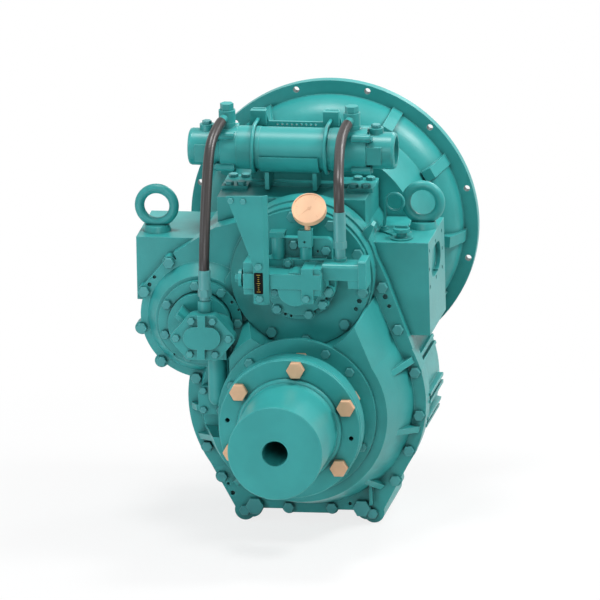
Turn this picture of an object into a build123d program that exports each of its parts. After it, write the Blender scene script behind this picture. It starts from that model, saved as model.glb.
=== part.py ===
"""Marine reversing gearbox with an oil cooler on top and a solid output half-coupling."""

import os
from math import acos, atan2, cos, degrees, pi, radians, sin, sqrt, tan

from build123d import *

os.makedirs("parts", exist_ok=True)

# Frame: the origin is on the input axis at the face that bolts to the engine. +Y points
# to the engine, +Z is up, and +X is to the right for someone who stands behind the
# gearbox and looks forward. All shafts are parallel to Y, so a place on them is (x, z).

# Gear data in millimetres and teeth
CLUTCH_MODULE = 6.0
CLUTCH_TEETH = 36
PINION_TEETH = 24
OUTPUT_TEETH = 60
PRESSURE_ANGLE = 20.0
BACKLASH = 0.5
PUMP_MODULE = 3.5
PUMP_TEETH = 11
PUMP_ADDENDUM = 0.8

# Shaft centres follow from the gears
REVERSE_DISTANCE = CLUTCH_MODULE * CLUTCH_TEETH
OUTPUT_DISTANCE = CLUTCH_MODULE * (PINION_TEETH + OUTPUT_TEETH) / 2
INPUT = (0.0, 0.0)
OUTPUT = (0.0, -OUTPUT_DISTANCE)
REVERSE_DROP = REVERSE_DISTANCE**2 / (2 * OUTPUT_DISTANCE)
REVERSE = (-sqrt(REVERSE_DISTANCE**2 - REVERSE_DROP**2), -REVERSE_DROP)
PUMP_DISTANCE = PUMP_MODULE * PUMP_TEETH
PUMP_TILT = -8.0
PUMP_IDLER = (
    REVERSE[0] + PUMP_DISTANCE * cos(radians(PUMP_TILT)),
    REVERSE[1] + PUMP_DISTANCE * sin(radians(PUMP_TILT)),
)
PUMP_MIDDLE = ((REVERSE[0] + PUMP_IDLER[0]) / 2, (REVERSE[1] + PUMP_IDLER[1]) / 2)

# Fits
RUNNING = 0.05
CLEAR = 0.3

# Engine flange, SAE No. 1
FLANGE_R = 552.45 / 2
FLANGE_T = 18.0
FLANGE_EDGE = 11.1125
FLANGE_PCD = 2 * (FLANGE_R - FLANGE_EDGE)
FLANGE_HOLES = 12
FLANGE_HOLE_R = 6.0
PILOT_R = FLANGE_R - 20.665
PILOT_H = 6.0

# Planes along the shafts
BELL_BACK = -170.0
CASE_JOINT = -355.0
REAR_FLANGE = -380.0
BODY_FACE = -412.0
BOSS_FACE = -490.0
MAIN_WALL = 25.0
REAR_WALL_IN = -393.0

# Case outline
PEAR_R = 229.0
LOBE_R = 122.0
MIDDLE_R = 142.0
BODY_R = MIDDLE_R - 4.0
FLANGE_LIP = 8.0
PEAR_FOOT = PEAR_R - 87.0
PEAR_FOOT_Z = OUTPUT[1] - PEAR_R + 12.0
FOOT_Z = PEAR_FOOT_Z - 24.0
FOOT_R = 20.0
FOOT_X = PEAR_R - 105.0
SUMP_Z = PEAR_FOOT_Z - 7.0
SUMP_X = 46.0
WALL = 12.0

# Blocks and tower cast on the front half
BLOCK_TOP = 54.0
LEFT_X = -327.0
LEFT_BOTTOM = -69.0
RIGHT_X = 236.0
RIGHT_BOTTOM = -128.0
TOWER_LEFT = -173.0
TOWER_RIGHT = 112.0
TOWER_TOP = 130.0
TOWER_FRONT = -332.0
TOWER_BACK = -172.0

SUCTION_SEAT = -405.0
COVER_FACE = -425.0
VALVE_SEAT = -458.0
VALVE_FLANGE = -470.0
RING_FACE = -424.0
RING_FLOOR = -416.0
PUMP_JOINT = -505.0
PUMP_FACE = -520.0
PUMP_SHAFT_R = 9.0
PUMP_GEAR_FACE = -503.0
PUMP_GEAR_FRONT = -463.0

# Fasteners: half the hex across its corners, head height and shank radius
M20 = (17.3, 13.0, 10.0)
M12 = (10.9, 8.0, 6.0)
M10 = (9.2, 7.0, 5.0)
M8 = (7.5, 5.5, 4.0)
M6 = (5.8, 4.0, 3.0)
M12_STUD = (17.3, 12.0, 6.0)
HEAD_EDGE = 1.0

# Output half-coupling
COUPLING_R = 137.5
COUPLING_PCD = 239.5
COUPLING_BOLTS = 6
COUPLING_PHASE = 90 - 7.36
COUPLING_T = 23.0
COUPLING_FACE = -570.0
NOSE_R = 91.3
NOSE_FACE = -766.0
NOSE_BORE_R = 24.5

# Shafts
INPUT_R = 25.0
SLEEVE_R = 30.0
OUTPUT_R = 42.5
OUTPUT_SEAT_R = 50.0
SEAL_R = 62.0
SHAFT_REAR = -448.0
INPUT_TIP = -60.0

# Cooler
COOLER_Y = -280.0
COOLER_Z = 214.5
COOLER_R = 40.7
COOLER_LEFT = -137.0
COOLER_RIGHT = 60.0
CAP_LEFT_END = -232.0
CAP_RIGHT_END = 166.0
COLLAR_LEFT = -168.0
COLLAR_RIGHT = 112.0
NECK_R = 35.5
OUTLET_R = 27.0

# Hoses
HOSE_R = 10.0
FERRULE_R = 11.8


def behind(y, centre=(0.0, 0.0)):
    """The plane square to the shafts at y, seen from behind: local x is X, local y is Z."""
    return Plane(origin=(centre[0], y, centre[1]), x_dir=(1, 0, 0), z_dir=(0, -1, 0))


def ahead(y):
    """The plane square to the shafts at y, seen from the engine: local x is -X."""
    return Plane(origin=(0, y, 0), x_dir=(-1, 0, 0), z_dir=(0, 1, 0))


def across(x, side=1):
    """The plane square to X at x, seen from the right (local x is Y) or the left (-Y)."""
    return Plane(origin=(x, 0, 0), x_dir=(0, side, 0), z_dir=(side, 0, 0))


def below(z):
    """The level plane at z, seen from below: local x is X, local y is -Y."""
    return Plane(origin=(0, 0, z), x_dir=(1, 0, 0), z_dir=(0, 0, -1))


def polar(centre, radius, angle):
    """The point (x, z) at an angle, in degrees, around a shaft centre."""
    return (
        centre[0] + radius * cos(radians(angle)),
        centre[1] + radius * sin(radians(angle)),
    )


def profile(points, centre=(0.0, 0.0)):
    """A closed outline of (radius, y) points beside a shaft axis, ready to revolve."""
    with BuildSketch(Plane.XY.offset(centre[1])) as sketch:
        with BuildLine():
            Polyline(*[(centre[0] + r, y) for r, y in points], close=True)
        make_face()
    return sketch.sketch


def shaft_axis(centre):
    """The axis of a shaft, pointing to the engine."""
    return Axis((centre[0], 0, centre[1]), (0, 1, 0))


def ring(centre, outer, inner, y_front, y_back):
    """The outline of a plain ring between two planes."""
    return profile(
        [(inner, y_front), (outer, y_front), (outer, y_back), (inner, y_back)], centre
    )


def involute(angle):
    return tan(angle) - angle


def gear_face(teeth, module, centre, phase, y, bore, addendum=1.0):
    """Gear outline at y with one tooth centred on phase, in degrees.

    Each flank runs through points of the true involute at the base, pitch and tip
    circles, so the straight runs between them stay inside the tooth.
    """
    pitch_r = module * teeth / 2
    base_r = pitch_r * cos(radians(PRESSURE_ANGLE))
    root_r = pitch_r - 1.25 * module
    tip_r = pitch_r + addendum * module
    half = pi / (2 * teeth) - BACKLASH * module / 12 / pitch_r
    at_pitch = involute(radians(PRESSURE_ANGLE))

    def half_angle(radius):
        if radius <= base_r:
            return half + at_pitch
        return half + at_pitch - involute(acos(base_r / radius))

    flank = [(root_r, half_angle(base_r)), (pitch_r, half_angle(pitch_r)), (tip_r, half_angle(tip_r))]
    points = []
    for tooth in range(teeth):
        middle = radians(phase) + 2 * pi * tooth / teeth
        for radius, turn in flank:
            points.append((radius * cos(middle - turn), radius * sin(middle - turn)))
        for radius, turn in reversed(flank):
            points.append((radius * cos(middle + turn), radius * sin(middle + turn)))
    with BuildSketch(behind(y, centre)) as sketch:
        with BuildLine():
            Polyline(*points, close=True)
        make_face()
        Circle(bore, mode=Mode.SUBTRACT)
    return sketch.sketch


def bolts(points, plane, size, length):
    """Hex-head bolts whose heads stand on a plane, with their shanks behind it."""
    head, height, shank = size
    with BuildPart() as group:
        with BuildSketch(plane):
            with Locations(*points):
                RegularPolygon(head, 6)
        extrude(amount=height - HEAD_EDGE)
        with BuildSketch(plane.offset(height - HEAD_EDGE)):
            with Locations(*points):
                RegularPolygon(head, 6)
        extrude(amount=HEAD_EDGE, taper=45)
        with BuildSketch(plane):
            with Locations(*points):
                Circle(shank)
        extrude(amount=-length)
    return group.part


def bolt_holes(points, plane, size, length):
    """Clearance for the shanks of bolts() at the same points."""
    with BuildPart() as group:
        with BuildSketch(plane):
            with Locations(*points):
                Circle(size[2] + CLEAR)
        extrude(amount=-length - 2 * CLEAR)
    return group.part


def tapped_holes(points, plane, depth=8.0):
    """Blind holes with no bolt in them, from (a, b, radius) on a plane."""
    with BuildPart() as group:
        with BuildSketch(plane):
            for a, b, radius in points:
                with Locations((a, b)):
                    Circle(radius)
        extrude(amount=-depth)
    return group.part


def mirrored(points):
    """The same places for a plane that is seen from its other side."""
    return [(-a, b) for a, b in points]


def save(piece, name):
    """Label a finished piece and write it to its own file."""
    piece.part.label = name
    export_step(piece.part, f"parts/{name}.step")


# Bolt places that two or more pieces share
PEAR_BOLT_R = PEAR_R - 12.0
CASE_BOLTS = [polar(OUTPUT, PEAR_BOLT_R, a) for a in (206.5, 259.5, 281.5, 333.5, 353.0, 15.5)]
CASE_BOLTS += [polar(OUTPUT, PEAR_BOLT_R + 11, a) for a in (223.0, 317.0, 38.5)]
CASE_BOLTS += [polar(OUTPUT, PEAR_BOLT_R + 53, 56.3)]
LOBE_BOLT_R = 123.0
CASE_BOLTS += [polar(REVERSE, LOBE_BOLT_R, a) for a in (122, 158, 192, 227)]
# The last bolt of the lobe stands in the corner beside the output boss
CASE_BOLTS += [polar(OUTPUT, PEAR_R - 13.4152, 169.9488)]
FOOT_BOLTS = [(-FOOT_X, FOOT_Z + FOOT_R), (FOOT_X - 2, FOOT_Z + FOOT_R - 1)]
FOOT_STUDS = [(20.0 - FOOT_X, PEAR_FOOT_Z + 6), (FOOT_X - 22.0, PEAR_FOOT_Z + 6)]
BOSS_R = 13.0
SPARE_FLANGE = [(-289.0, -17.5, 3.4), (-299.0, -32.7, 4.0), (154.8, -45.9, 5.0), (162.0, -64.5, 3.8)]
SPARE_FLANGE += [(73.4 - PEAR_R, PEAR_FOOT_Z + 46.7, 2.8), (82.0 - PEAR_R, PEAR_FOOT_Z + 28.4, 4.4)]
SPARE_FLANGE += [(30.6 - FOOT_X, PEAR_FOOT_Z + 12.8, 3.4), (FOOT_X - 45.9, PEAR_FOOT_Z + 12.7, 3.4)]
SPARE_COVER = [(112.5, -43.0, 4.6), (105.6, -58.9, 3.8)]
SPARE_SEAT = [(-25.0, -62.5, 3.0), (-14.0, -65.8, 2.6)]
SPARE_RING = [(-133.5, -51.5, 2.8), (-121.0, -66.0, 2.4)]
RING_R = 81.0
MIDDLE_BOLT_R = 122.0
MIDDLE_BOLTS = [polar(INPUT, MIDDLE_BOLT_R, a) for a in (-12, -47, -86, -118, 24, 60, 96, 132)]
RING_BOLT_R = 72.5
RING_BOLTS = [polar(REVERSE, RING_BOLT_R, a) for a in (55, 97, 152, 200, 250, 318, 0)]
OUTPUT_BOLT_R = 137.0
OUTPUT_BOLTS = [polar(OUTPUT, OUTPUT_BOLT_R, a + 90 * k) for k in range(4) for a in (41, 65)]
VALVE_BOLT_R = 62.6
VALVE_BOLTS = [polar(INPUT, VALVE_BOLT_R, a) for a in (-13, -38, -69, -128, 195)]
BELL_BOLTS = [polar(INPUT, 118, 15 + 60 * k) for k in range(6)]
INPUT_COVER_BOLTS = [polar(INPUT, 70, 60 * k) for k in range(6)]
SUCTION_PLATE = (-176.0, -245.0)
SUCTION_BOLTS = [
    (SUCTION_PLATE[0] + dx, SUCTION_PLATE[1] + dz) for dx, dz in ((-16, 19), (-16, -19), (16, -19))
]
FOOT_POINTS = [(x, y) for x in (-160.0, -136.0, 80.0, 104.0) for y in (-267.0, -214.0)]
DIPSTICK = (138.0, -276.0)
FILLER = (180.0, -325.0)
FILLER_BORE = 7.5
DRAIN = [(0.0, 262.0)]
DRAIN_Z = PEAR_FOOT_Z + FLANGE_LIP


def case_outline(y, lip=0.0):
    """The outline of the main joint, drawn in by lip from the flange edge."""
    with BuildSketch(behind(y)) as sketch:
        with Locations(OUTPUT):
            Circle(PEAR_R - lip)
        with Locations((0, PEAR_FOOT_Z + lip - 50)):
            Rectangle(2 * PEAR_R, 100, mode=Mode.SUBTRACT)
        with Locations(INPUT):
            Circle(MIDDLE_R - lip)
        with Locations(REVERSE):
            Circle(LOBE_R)
        foot = PEAR_FOOT - lip
        shoulder = PEAR_R - lip - 27
        with BuildLine():
            Polyline(
                (-shoulder, -357),
                (-foot, PEAR_FOOT_Z + lip),
                (foot, PEAR_FOOT_Z + lip),
                (shoulder, -357),
                close=True,
            )
        make_face()
        with BuildLine():
            Polyline(
                INPUT, (MIDDLE_R - 17 - lip, 62 - lip), (MIDDLE_R + 17 - lip, -14),
                (PEAR_R - 23 - lip, -148), OUTPUT, close=True,
            )
        make_face()
        with BuildLine():
            Polyline(INPUT, (-96, 104 - lip), (-172, 82 - lip), (-252, 31 - lip), REVERSE, close=True)
        make_face()
        with BuildLine():
            Polyline(INPUT, REVERSE, OUTPUT, close=True)
        make_face()
    return sketch.sketch


def cavity_outline(y, middle_r, output_r):
    """The gear chamber: three round bays that run into each other."""
    with BuildSketch(behind(y)) as sketch:
        with Locations(INPUT, REVERSE):
            Circle(middle_r)
        with Locations(OUTPUT):
            Circle(output_r)
        with BuildLine():
            Polyline(INPUT, REVERSE, OUTPUT, close=True)
        make_face()
    return sketch.sketch


GEAR_BAY_R = CLUTCH_MODULE * (CLUTCH_TEETH / 2 + 1) + 2.0
OUTPUT_BAY_R = CLUTCH_MODULE * (OUTPUT_TEETH / 2 + 1) + 8.0

# Engine-side bell: flange, rounded shoulder, cone and the ring that meets the case
BELL_CONE_R = 188.0
SHOULDER_R = FLANGE_R - 27.0
BELL_NECK = -75.0
BELL_RING_R = 92.0
with BuildPart() as bell_housing:
    outer = [
        (PILOT_R, PILOT_H),
        (PILOT_R, 0),
        (FLANGE_R, 0),
        (FLANGE_R, -FLANGE_T),
        (SHOULDER_R, -FLANGE_T),
    ]
    inner = [
        (BELL_RING_R, BELL_BACK),
        (BELL_RING_R, BELL_BACK + WALL),
        (BELL_CONE_R - WALL, BELL_BACK + WALL),
        (SHOULDER_R - 50, -68),
        (SHOULDER_R - 33, -56),
        (SHOULDER_R - 22, -38),
        (SHOULDER_R - 15, -14),
        (PILOT_R - WALL, PILOT_H),
        (PILOT_R, PILOT_H),
    ]
    with BuildSketch(Plane.XY):
        with BuildLine():
            Polyline(*outer)
            ThreePointArc(
                (SHOULDER_R, -FLANGE_T), (SHOULDER_R - 12, -53), (SHOULDER_R - 38, BELL_NECK)
            )
            Polyline((SHOULDER_R - 38, BELL_NECK), (BELL_CONE_R, BELL_BACK), *inner)
        make_face()
    revolve(axis=shaft_axis(INPUT))
    for angle in (60, 30, -5, -35, -60, 120, 150, 185, 215, 240):
        rib = Plane(
            origin=(0, 0, 0),
            x_dir=(cos(radians(angle)), 0, sin(radians(angle))),
            z_dir=(-sin(radians(angle)), 0, cos(radians(angle))),
        )
        with BuildSketch(rib):
            with BuildLine():
                Polyline(
                    (SHOULDER_R - 35, -66), (SHOULDER_R - 35, -84), (SHOULDER_R - 16, -84),
                    (SHOULDER_R + 5, -32), (SHOULDER_R + 5, -12), (SHOULDER_R - 13, -12), close=True,
                )
            make_face()
        extrude(amount=11, both=True)
    with BuildSketch(behind(-FLANGE_T)):
        with PolarLocations(FLANGE_PCD / 2, FLANGE_HOLES, start_angle=15):
            Circle(FLANGE_HOLE_R)
    extrude(amount=-2 * FLANGE_T, mode=Mode.SUBTRACT)
    add(bolt_holes(BELL_BOLTS, behind(BELL_BACK - 20), M12, 40), mode=Mode.SUBTRACT)
save(bell_housing, "bell_housing")

# Front half of the gear case: three bays, two lifting blocks and the tower
with BuildPart() as main_case:
    extrude(case_outline(CASE_JOINT, FLANGE_LIP), amount=CASE_JOINT - BELL_BACK)
    extrude(case_outline(CASE_JOINT), amount=-20)
    with BuildSketch(behind(CASE_JOINT)):
        with Locations((LEFT_X / 2 + REVERSE[0] / 2, (BLOCK_TOP + LEFT_BOTTOM) / 2)):
            Rectangle(REVERSE[0] - LEFT_X, BLOCK_TOP - LEFT_BOTTOM)
        with Locations(((REVERSE[0] + RIGHT_X) / 2, BLOCK_TOP / 2)):
            Rectangle(RIGHT_X - REVERSE[0], BLOCK_TOP)
        with Locations((RIGHT_X / 2 + 40, (BLOCK_TOP + RIGHT_BOTTOM) / 2)):
            Rectangle(RIGHT_X - 80, BLOCK_TOP - RIGHT_BOTTOM)
    extrude(amount=CASE_JOINT - BELL_BACK)
    with BuildSketch(behind(TOWER_FRONT)):
        with Locations(((TOWER_LEFT + TOWER_RIGHT) / 2, (TOWER_TOP + BLOCK_TOP) / 2)):
            Rectangle(TOWER_RIGHT - TOWER_LEFT, TOWER_TOP - BLOCK_TOP)
    extrude(amount=TOWER_FRONT - TOWER_BACK)
    with BuildSketch(behind(CASE_JOINT)):
        with Locations((-FOOT_X, FOOT_Z + FOOT_R), (FOOT_X, FOOT_Z + FOOT_R)):
            Circle(FOOT_R)
            Rectangle(FOOT_R, 2 * FOOT_R)
    extrude(amount=CASE_JOINT - BELL_BACK)
    with BuildSketch(behind(CASE_JOINT + 20)):
        with Locations((0, TOWER_TOP + 20)):
            Rectangle(2 * MIDDLE_R, 40)
    extrude(amount=CASE_JOINT + 20 - BELL_BACK, mode=Mode.SUBTRACT)
    for angle, rise in ((18.6, 0), (-1, 3), (-13, 2), (181, -2), (193, -2)):
        x, z = polar(OUTPUT, PEAR_R + rise, angle)
        outward = (cos(radians(angle)), 0, sin(radians(angle)))
        with BuildSketch(Plane(origin=(x, 0, z), x_dir=(0, 1, 0), z_dir=outward)):
            with Locations((CASE_JOINT / 2 + BELL_BACK / 2 - 4, 0)):
                Rectangle(150, 20)
                Rectangle(150, 8, mode=Mode.SUBTRACT)
        extrude(amount=-24)
    extrude(
        cavity_outline(CASE_JOINT, GEAR_BAY_R, OUTPUT_BAY_R),
        amount=CASE_JOINT - BELL_BACK + MAIN_WALL,
        mode=Mode.SUBTRACT,
    )
    with BuildSketch(behind(CASE_JOINT + WALL)):
        with Locations(((LEFT_X - 60) / 2 - 40, (BLOCK_TOP + LEFT_BOTTOM) / 2)):
            Rectangle(-60 - LEFT_X - 80 - 2 * WALL, BLOCK_TOP - LEFT_BOTTOM - 2 * WALL)
        with Locations((RIGHT_X / 2 + 30, (BLOCK_TOP + RIGHT_BOTTOM) / 2)):
            Rectangle(RIGHT_X - 60 - 2 * WALL, BLOCK_TOP - RIGHT_BOTTOM - 2 * WALL)
    extrude(amount=CASE_JOINT - BELL_BACK + MAIN_WALL + WALL, mode=Mode.SUBTRACT)
    with BuildSketch(Plane.XY.offset(TOWER_TOP - WALL)):
        with Locations(((TOWER_LEFT + TOWER_RIGHT) / 2, (TOWER_FRONT + TOWER_BACK) / 2 - 4)):
            Rectangle(TOWER_RIGHT - TOWER_LEFT - 2 * WALL, TOWER_BACK - TOWER_FRONT - 3 * WALL)
    extrude(amount=-TOWER_TOP + WALL + 20, mode=Mode.SUBTRACT)
    # Bearing seats: the input one is open to the bell, the others are blind
    revolve(ring(INPUT, 45, 0, CASE_JOINT, BELL_BACK + 1), axis=shaft_axis(INPUT), mode=Mode.SUBTRACT)
    revolve(ring(REVERSE, 45, 0, CASE_JOINT, BELL_BACK - 5), axis=shaft_axis(REVERSE), mode=Mode.SUBTRACT)
    revolve(ring(OUTPUT, 70, 0, CASE_JOINT, BELL_BACK - 5), axis=shaft_axis(OUTPUT), mode=Mode.SUBTRACT)
    # Drive pad for an auxiliary pump on the right-hand side
    PAD_MIDDLE = (-271.0, 0.0)
    with BuildSketch(Plane(origin=(RIGHT_X, PAD_MIDDLE[0], PAD_MIDDLE[1]), x_dir=(0, 1, 0), z_dir=(1, 0, 0))):
        SlotOverall(110, 54)
        Rectangle(44, 58)
    extrude(amount=-9, mode=Mode.SUBTRACT)
    PAD_HOLES = [(y, z) for y in (-71.0, 0.0, 71.0) for z in (-35.5, 35.5)] + [(-76.0, 0.0), (76.0, 0.0)]
    with BuildSketch(Plane(origin=(RIGHT_X, PAD_MIDDLE[0], PAD_MIDDLE[1]), x_dir=(0, 1, 0), z_dir=(1, 0, 0))):
        with Locations(*PAD_HOLES):
            Circle(4.3)
    extrude(amount=-9, mode=Mode.SUBTRACT)
    add(bolt_holes(CASE_BOLTS + FOOT_BOLTS + FOOT_STUDS, behind(CASE_JOINT), M12, 22), mode=Mode.SUBTRACT)
    add(bolt_holes(BELL_BOLTS, behind(BELL_BACK - 20), M12, 40), mode=Mode.SUBTRACT)
    add(bolt_holes(INPUT_COVER_BOLTS, behind(BELL_BACK - 12), M8, 12), mode=Mode.SUBTRACT)
    add(bolt_holes(FOOT_POINTS, Plane.XY.offset(TOWER_TOP), M10, 10), mode=Mode.SUBTRACT)
    add(bolt_holes([DIPSTICK], Plane.XY.offset(BLOCK_TOP), M6, 13), mode=Mode.SUBTRACT)
    add(bolt_holes([FILLER], Plane.XY.offset(BLOCK_TOP), (0, 0, FILLER_BORE - CLEAR), 13), mode=Mode.SUBTRACT)
    add(bolt_holes(DRAIN, below(DRAIN_Z), M12, 10), mode=Mode.SUBTRACT)
save(main_case, "main_case")

# Rear half: the flange, the raised body behind the two clutches and the output boss
with BuildPart() as rear_case:
    extrude(case_outline(REAR_FLANGE), amount=REAR_FLANGE - CASE_JOINT)
    with BuildSketch(behind(REAR_FLANGE)):
        with Locations((-FOOT_X, FOOT_Z + FOOT_R), (FOOT_X, FOOT_Z + FOOT_R)):
            Circle(FOOT_R)
        with Locations((-FOOT_X + 14, FOOT_Z + FOOT_R + 6), (FOOT_X - 14, FOOT_Z + FOOT_R + 6)):
            Circle(FOOT_R)
        with Locations((0, SUMP_Z + 20)):
            Rectangle(2 * SUMP_X, 40)
    extrude(amount=REAR_FLANGE - CASE_JOINT)
    with BuildSketch(behind(REAR_FLANGE)):
        with Locations(*CASE_BOLTS):
            Circle(BOSS_R)
    extrude(amount=REAR_FLANGE - CASE_JOINT)
    with BuildSketch(behind(REAR_FLANGE)):
        with Locations(*CASE_BOLTS[10:12]):
            Circle(BOSS_R - 4)
        make_hull()
    extrude(amount=REAR_FLANGE - CASE_JOINT)
    with BuildSketch(behind(REAR_FLANGE)):
        with Locations(REVERSE):
            Circle(108)
    extrude(amount=REAR_FLANGE - BODY_FACE, taper=32)
    # Strut from the flange up to the right-hand block
    with BuildSketch(behind(REAR_FLANGE - 4)):
        with BuildLine():
            Polyline((118, 86), (131, 97), (137, 93), (118, 50), (100, 58), close=True)
        make_face()
    extrude(amount=REAR_FLANGE - 4 - CASE_JOINT)
    with BuildSketch(behind(REAR_FLANGE)):
        with Locations(INPUT):
            Circle(BODY_R)
        with BuildLine():
            Polyline(
                polar(INPUT, BODY_R, 118),
                polar(REVERSE, 95, 60),
                polar(REVERSE, 95, -60),
                polar(INPUT, BODY_R, -118),
                close=True,
            )
        make_face()
    extrude(amount=REAR_FLANGE - BODY_FACE)
    with BuildSketch(behind(REAR_FLANGE)):
        with Locations(OUTPUT):
            Circle(PEAR_R - 23)
        with BuildLine():
            Polyline(
                polar(OUTPUT, PEAR_R - 23, 11), (136, -44), (60, -44), (-60, -90),
                polar(OUTPUT, PEAR_R - 23, 140), close=True,
            )
        make_face()
    extrude(amount=REAR_FLANGE - BOSS_FACE, taper=17)
    # Ribs from the boss to the flange
    for angle in (22, -14, 184, 200, -50, 230):
        x, z = polar(OUTPUT, PEAR_R - 33, angle)
        outward = (cos(radians(angle)), 0, sin(radians(angle)))
        sideways = (-outward[2], 0, outward[0])
        with BuildSketch(Plane(origin=(x, REAR_FLANGE, z), x_dir=outward, z_dir=sideways)):
            with BuildLine():
                Polyline((-16, 0), (26, 0), (26, -6), (-8, -60), (-16, -60), close=True)
            make_face()
        extrude(amount=6, both=True)
    with BuildSketch(behind(REAR_FLANGE - 15)):
        with Locations((121, -421)):
            Rectangle(6, 68)
        with Locations((72, -415)):
            Rectangle(40, 6)
    extrude(amount=-15)
    # Gear bays, bearing seats and the way through for the shafts
    extrude(cavity_outline(CASE_JOINT, 90, 168), amount=CASE_JOINT - REAR_WALL_IN, mode=Mode.SUBTRACT)
    revolve(ring(OUTPUT, 118, 0, -438, CASE_JOINT), axis=shaft_axis(OUTPUT), mode=Mode.SUBTRACT)
    revolve(ring(OUTPUT, 82, 0, BOSS_FACE, CASE_JOINT), axis=shaft_axis(OUTPUT), mode=Mode.SUBTRACT)
    revolve(ring(INPUT, 48, 0, BODY_FACE, CASE_JOINT), axis=shaft_axis(INPUT), mode=Mode.SUBTRACT)
    revolve(ring(REVERSE, 48, 0, BODY_FACE, CASE_JOINT), axis=shaft_axis(REVERSE), mode=Mode.SUBTRACT)
    # Seats of the two rear covers, cut clear of the output boss
    with BuildSketch(behind(BODY_FACE)):
        Circle(MIDDLE_R - FLANGE_LIP + 1)
        with Locations(*MIDDLE_BOLTS):
            Circle(BOSS_R + 1)
        with Locations(REVERSE):
            Circle(RING_R + 1)
    extrude(amount=BODY_FACE - BOSS_FACE, mode=Mode.SUBTRACT)
    # Room for the pump's suction elbow on the left
    with BuildSketch(behind(SUCTION_SEAT)):
        with Locations((-190, -205)):
            Rectangle(120, 190)
    extrude(amount=SUCTION_SEAT - BOSS_FACE, mode=Mode.SUBTRACT)
    add(bolt_holes(CASE_BOLTS + FOOT_BOLTS + FOOT_STUDS, behind(REAR_FLANGE), M12, 25), mode=Mode.SUBTRACT)
    add(bolt_holes(MIDDLE_BOLTS, behind(BODY_FACE), M12, 14), mode=Mode.SUBTRACT)
    add(bolt_holes(RING_BOLTS, behind(BODY_FACE), M10, 12), mode=Mode.SUBTRACT)
    add(bolt_holes(OUTPUT_BOLTS, behind(BOSS_FACE), M10, 20), mode=Mode.SUBTRACT)
    add(bolt_holes(SUCTION_BOLTS, behind(SUCTION_SEAT), M8, 8), mode=Mode.SUBTRACT)
    add(tapped_holes(SPARE_FLANGE, behind(REAR_FLANGE)), mode=Mode.SUBTRACT)
save(rear_case, "rear_case")

# Cover behind the input clutch, which also carries the control valve
with BuildPart() as input_rear_cover:
    with BuildSketch(behind(COVER_FACE)):
        Circle(MIDDLE_R - FLANGE_LIP)
        with Locations(*MIDDLE_BOLTS):
            Circle(BOSS_R)
    extrude(amount=COVER_FACE - BODY_FACE)
    with BuildSketch(behind(COVER_FACE)):
        Circle(VALVE_BOLT_R + 9)
    extrude(amount=COVER_FACE - VALVE_SEAT)
    revolve(ring(INPUT, 46, 0, VALVE_SEAT + 6, BODY_FACE), axis=shaft_axis(INPUT), mode=Mode.SUBTRACT)
    add(bolt_holes(MIDDLE_BOLTS, behind(COVER_FACE), M12, 13), mode=Mode.SUBTRACT)
    add(bolt_holes(VALVE_BOLTS, behind(VALVE_SEAT), M10, 14), mode=Mode.SUBTRACT)
    add(tapped_holes(SPARE_COVER, behind(COVER_FACE)), mode=Mode.SUBTRACT)
    add(tapped_holes(SPARE_SEAT, behind(VALVE_SEAT)), mode=Mode.SUBTRACT)
save(input_rear_cover, "input_rear_cover")

# Ring cover behind the reverse clutch, with the seat for the oil pump
PUMP_SEAT_R = 62.0
with BuildPart() as reverse_rear_cover:
    revolve(
        profile(
            [(24, RING_FLOOR), (PUMP_SEAT_R, RING_FLOOR), (PUMP_SEAT_R, RING_FACE),
             (RING_R, RING_FACE), (RING_R, BODY_FACE), (24, BODY_FACE)],
            REVERSE,
        ),
        axis=shaft_axis(REVERSE),
    )
    add(bolt_holes(RING_BOLTS, behind(RING_FACE), M10, 12), mode=Mode.SUBTRACT)
    add(tapped_holes(SPARE_RING, behind(RING_FACE)), mode=Mode.SUBTRACT)
save(reverse_rear_cover, "reverse_rear_cover")

# Cover of the output bearing
OUTPUT_COVER_FACE = -500.0
OUTPUT_SEAL_BORE = 76.0
with BuildPart() as output_bearing_cover:
    revolve(
        profile(
            [(OUTPUT_SEAL_BORE, OUTPUT_COVER_FACE - 8), (100, OUTPUT_COVER_FACE - 8),
             (104, OUTPUT_COVER_FACE), (152, OUTPUT_COVER_FACE), (152, BOSS_FACE),
             (OUTPUT_SEAL_BORE, BOSS_FACE)],
            OUTPUT,
        ),
        axis=shaft_axis(OUTPUT),
    )
    add(bolt_holes(OUTPUT_BOLTS, behind(OUTPUT_COVER_FACE), M10, 10), mode=Mode.SUBTRACT)
save(output_bearing_cover, "output_bearing_cover")

# Cover and seal seat where the input shaft enters the case
INPUT_COVER_FACE = -156.0
with BuildPart() as input_bearing_cover:
    revolve(
        profile(
            [(32, INPUT_COVER_FACE), (80, INPUT_COVER_FACE), (80, BELL_BACK),
             (42, BELL_BACK), (42, BELL_BACK + 9), (32, BELL_BACK + 9)],
        ),
        axis=shaft_axis(INPUT),
    )
    add(bolt_holes(INPUT_COVER_BOLTS, behind(BELL_BACK), M8, 14), mode=Mode.SUBTRACT)
save(input_bearing_cover, "input_bearing_cover")

# Inner pieces on the input and reverse shafts. Both carry the same clutch
GEAR_FRONT, GEAR_BACK = -205.0, -245.0
DRUM_BACK = -290.0
PINION_FRONT, PINION_BACK = -300.0, -350.0
BEARING_IN = -194.0
BEARING_R = 45.0
REAR_BEARING_R = 48.0
DRUM_BORE = 86.0
HUB_R = 44.0
PINION_HUB_R = 50.0


def clutch_shaft(centre, front, rear):
    """Shaft from its front outline, over the clutch sleeve, to its rear outline."""
    with BuildPart() as piece:
        revolve(profile(front + [(SLEEVE_R, BODY_FACE)] + rear, centre), axis=shaft_axis(centre))
    return piece


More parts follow.
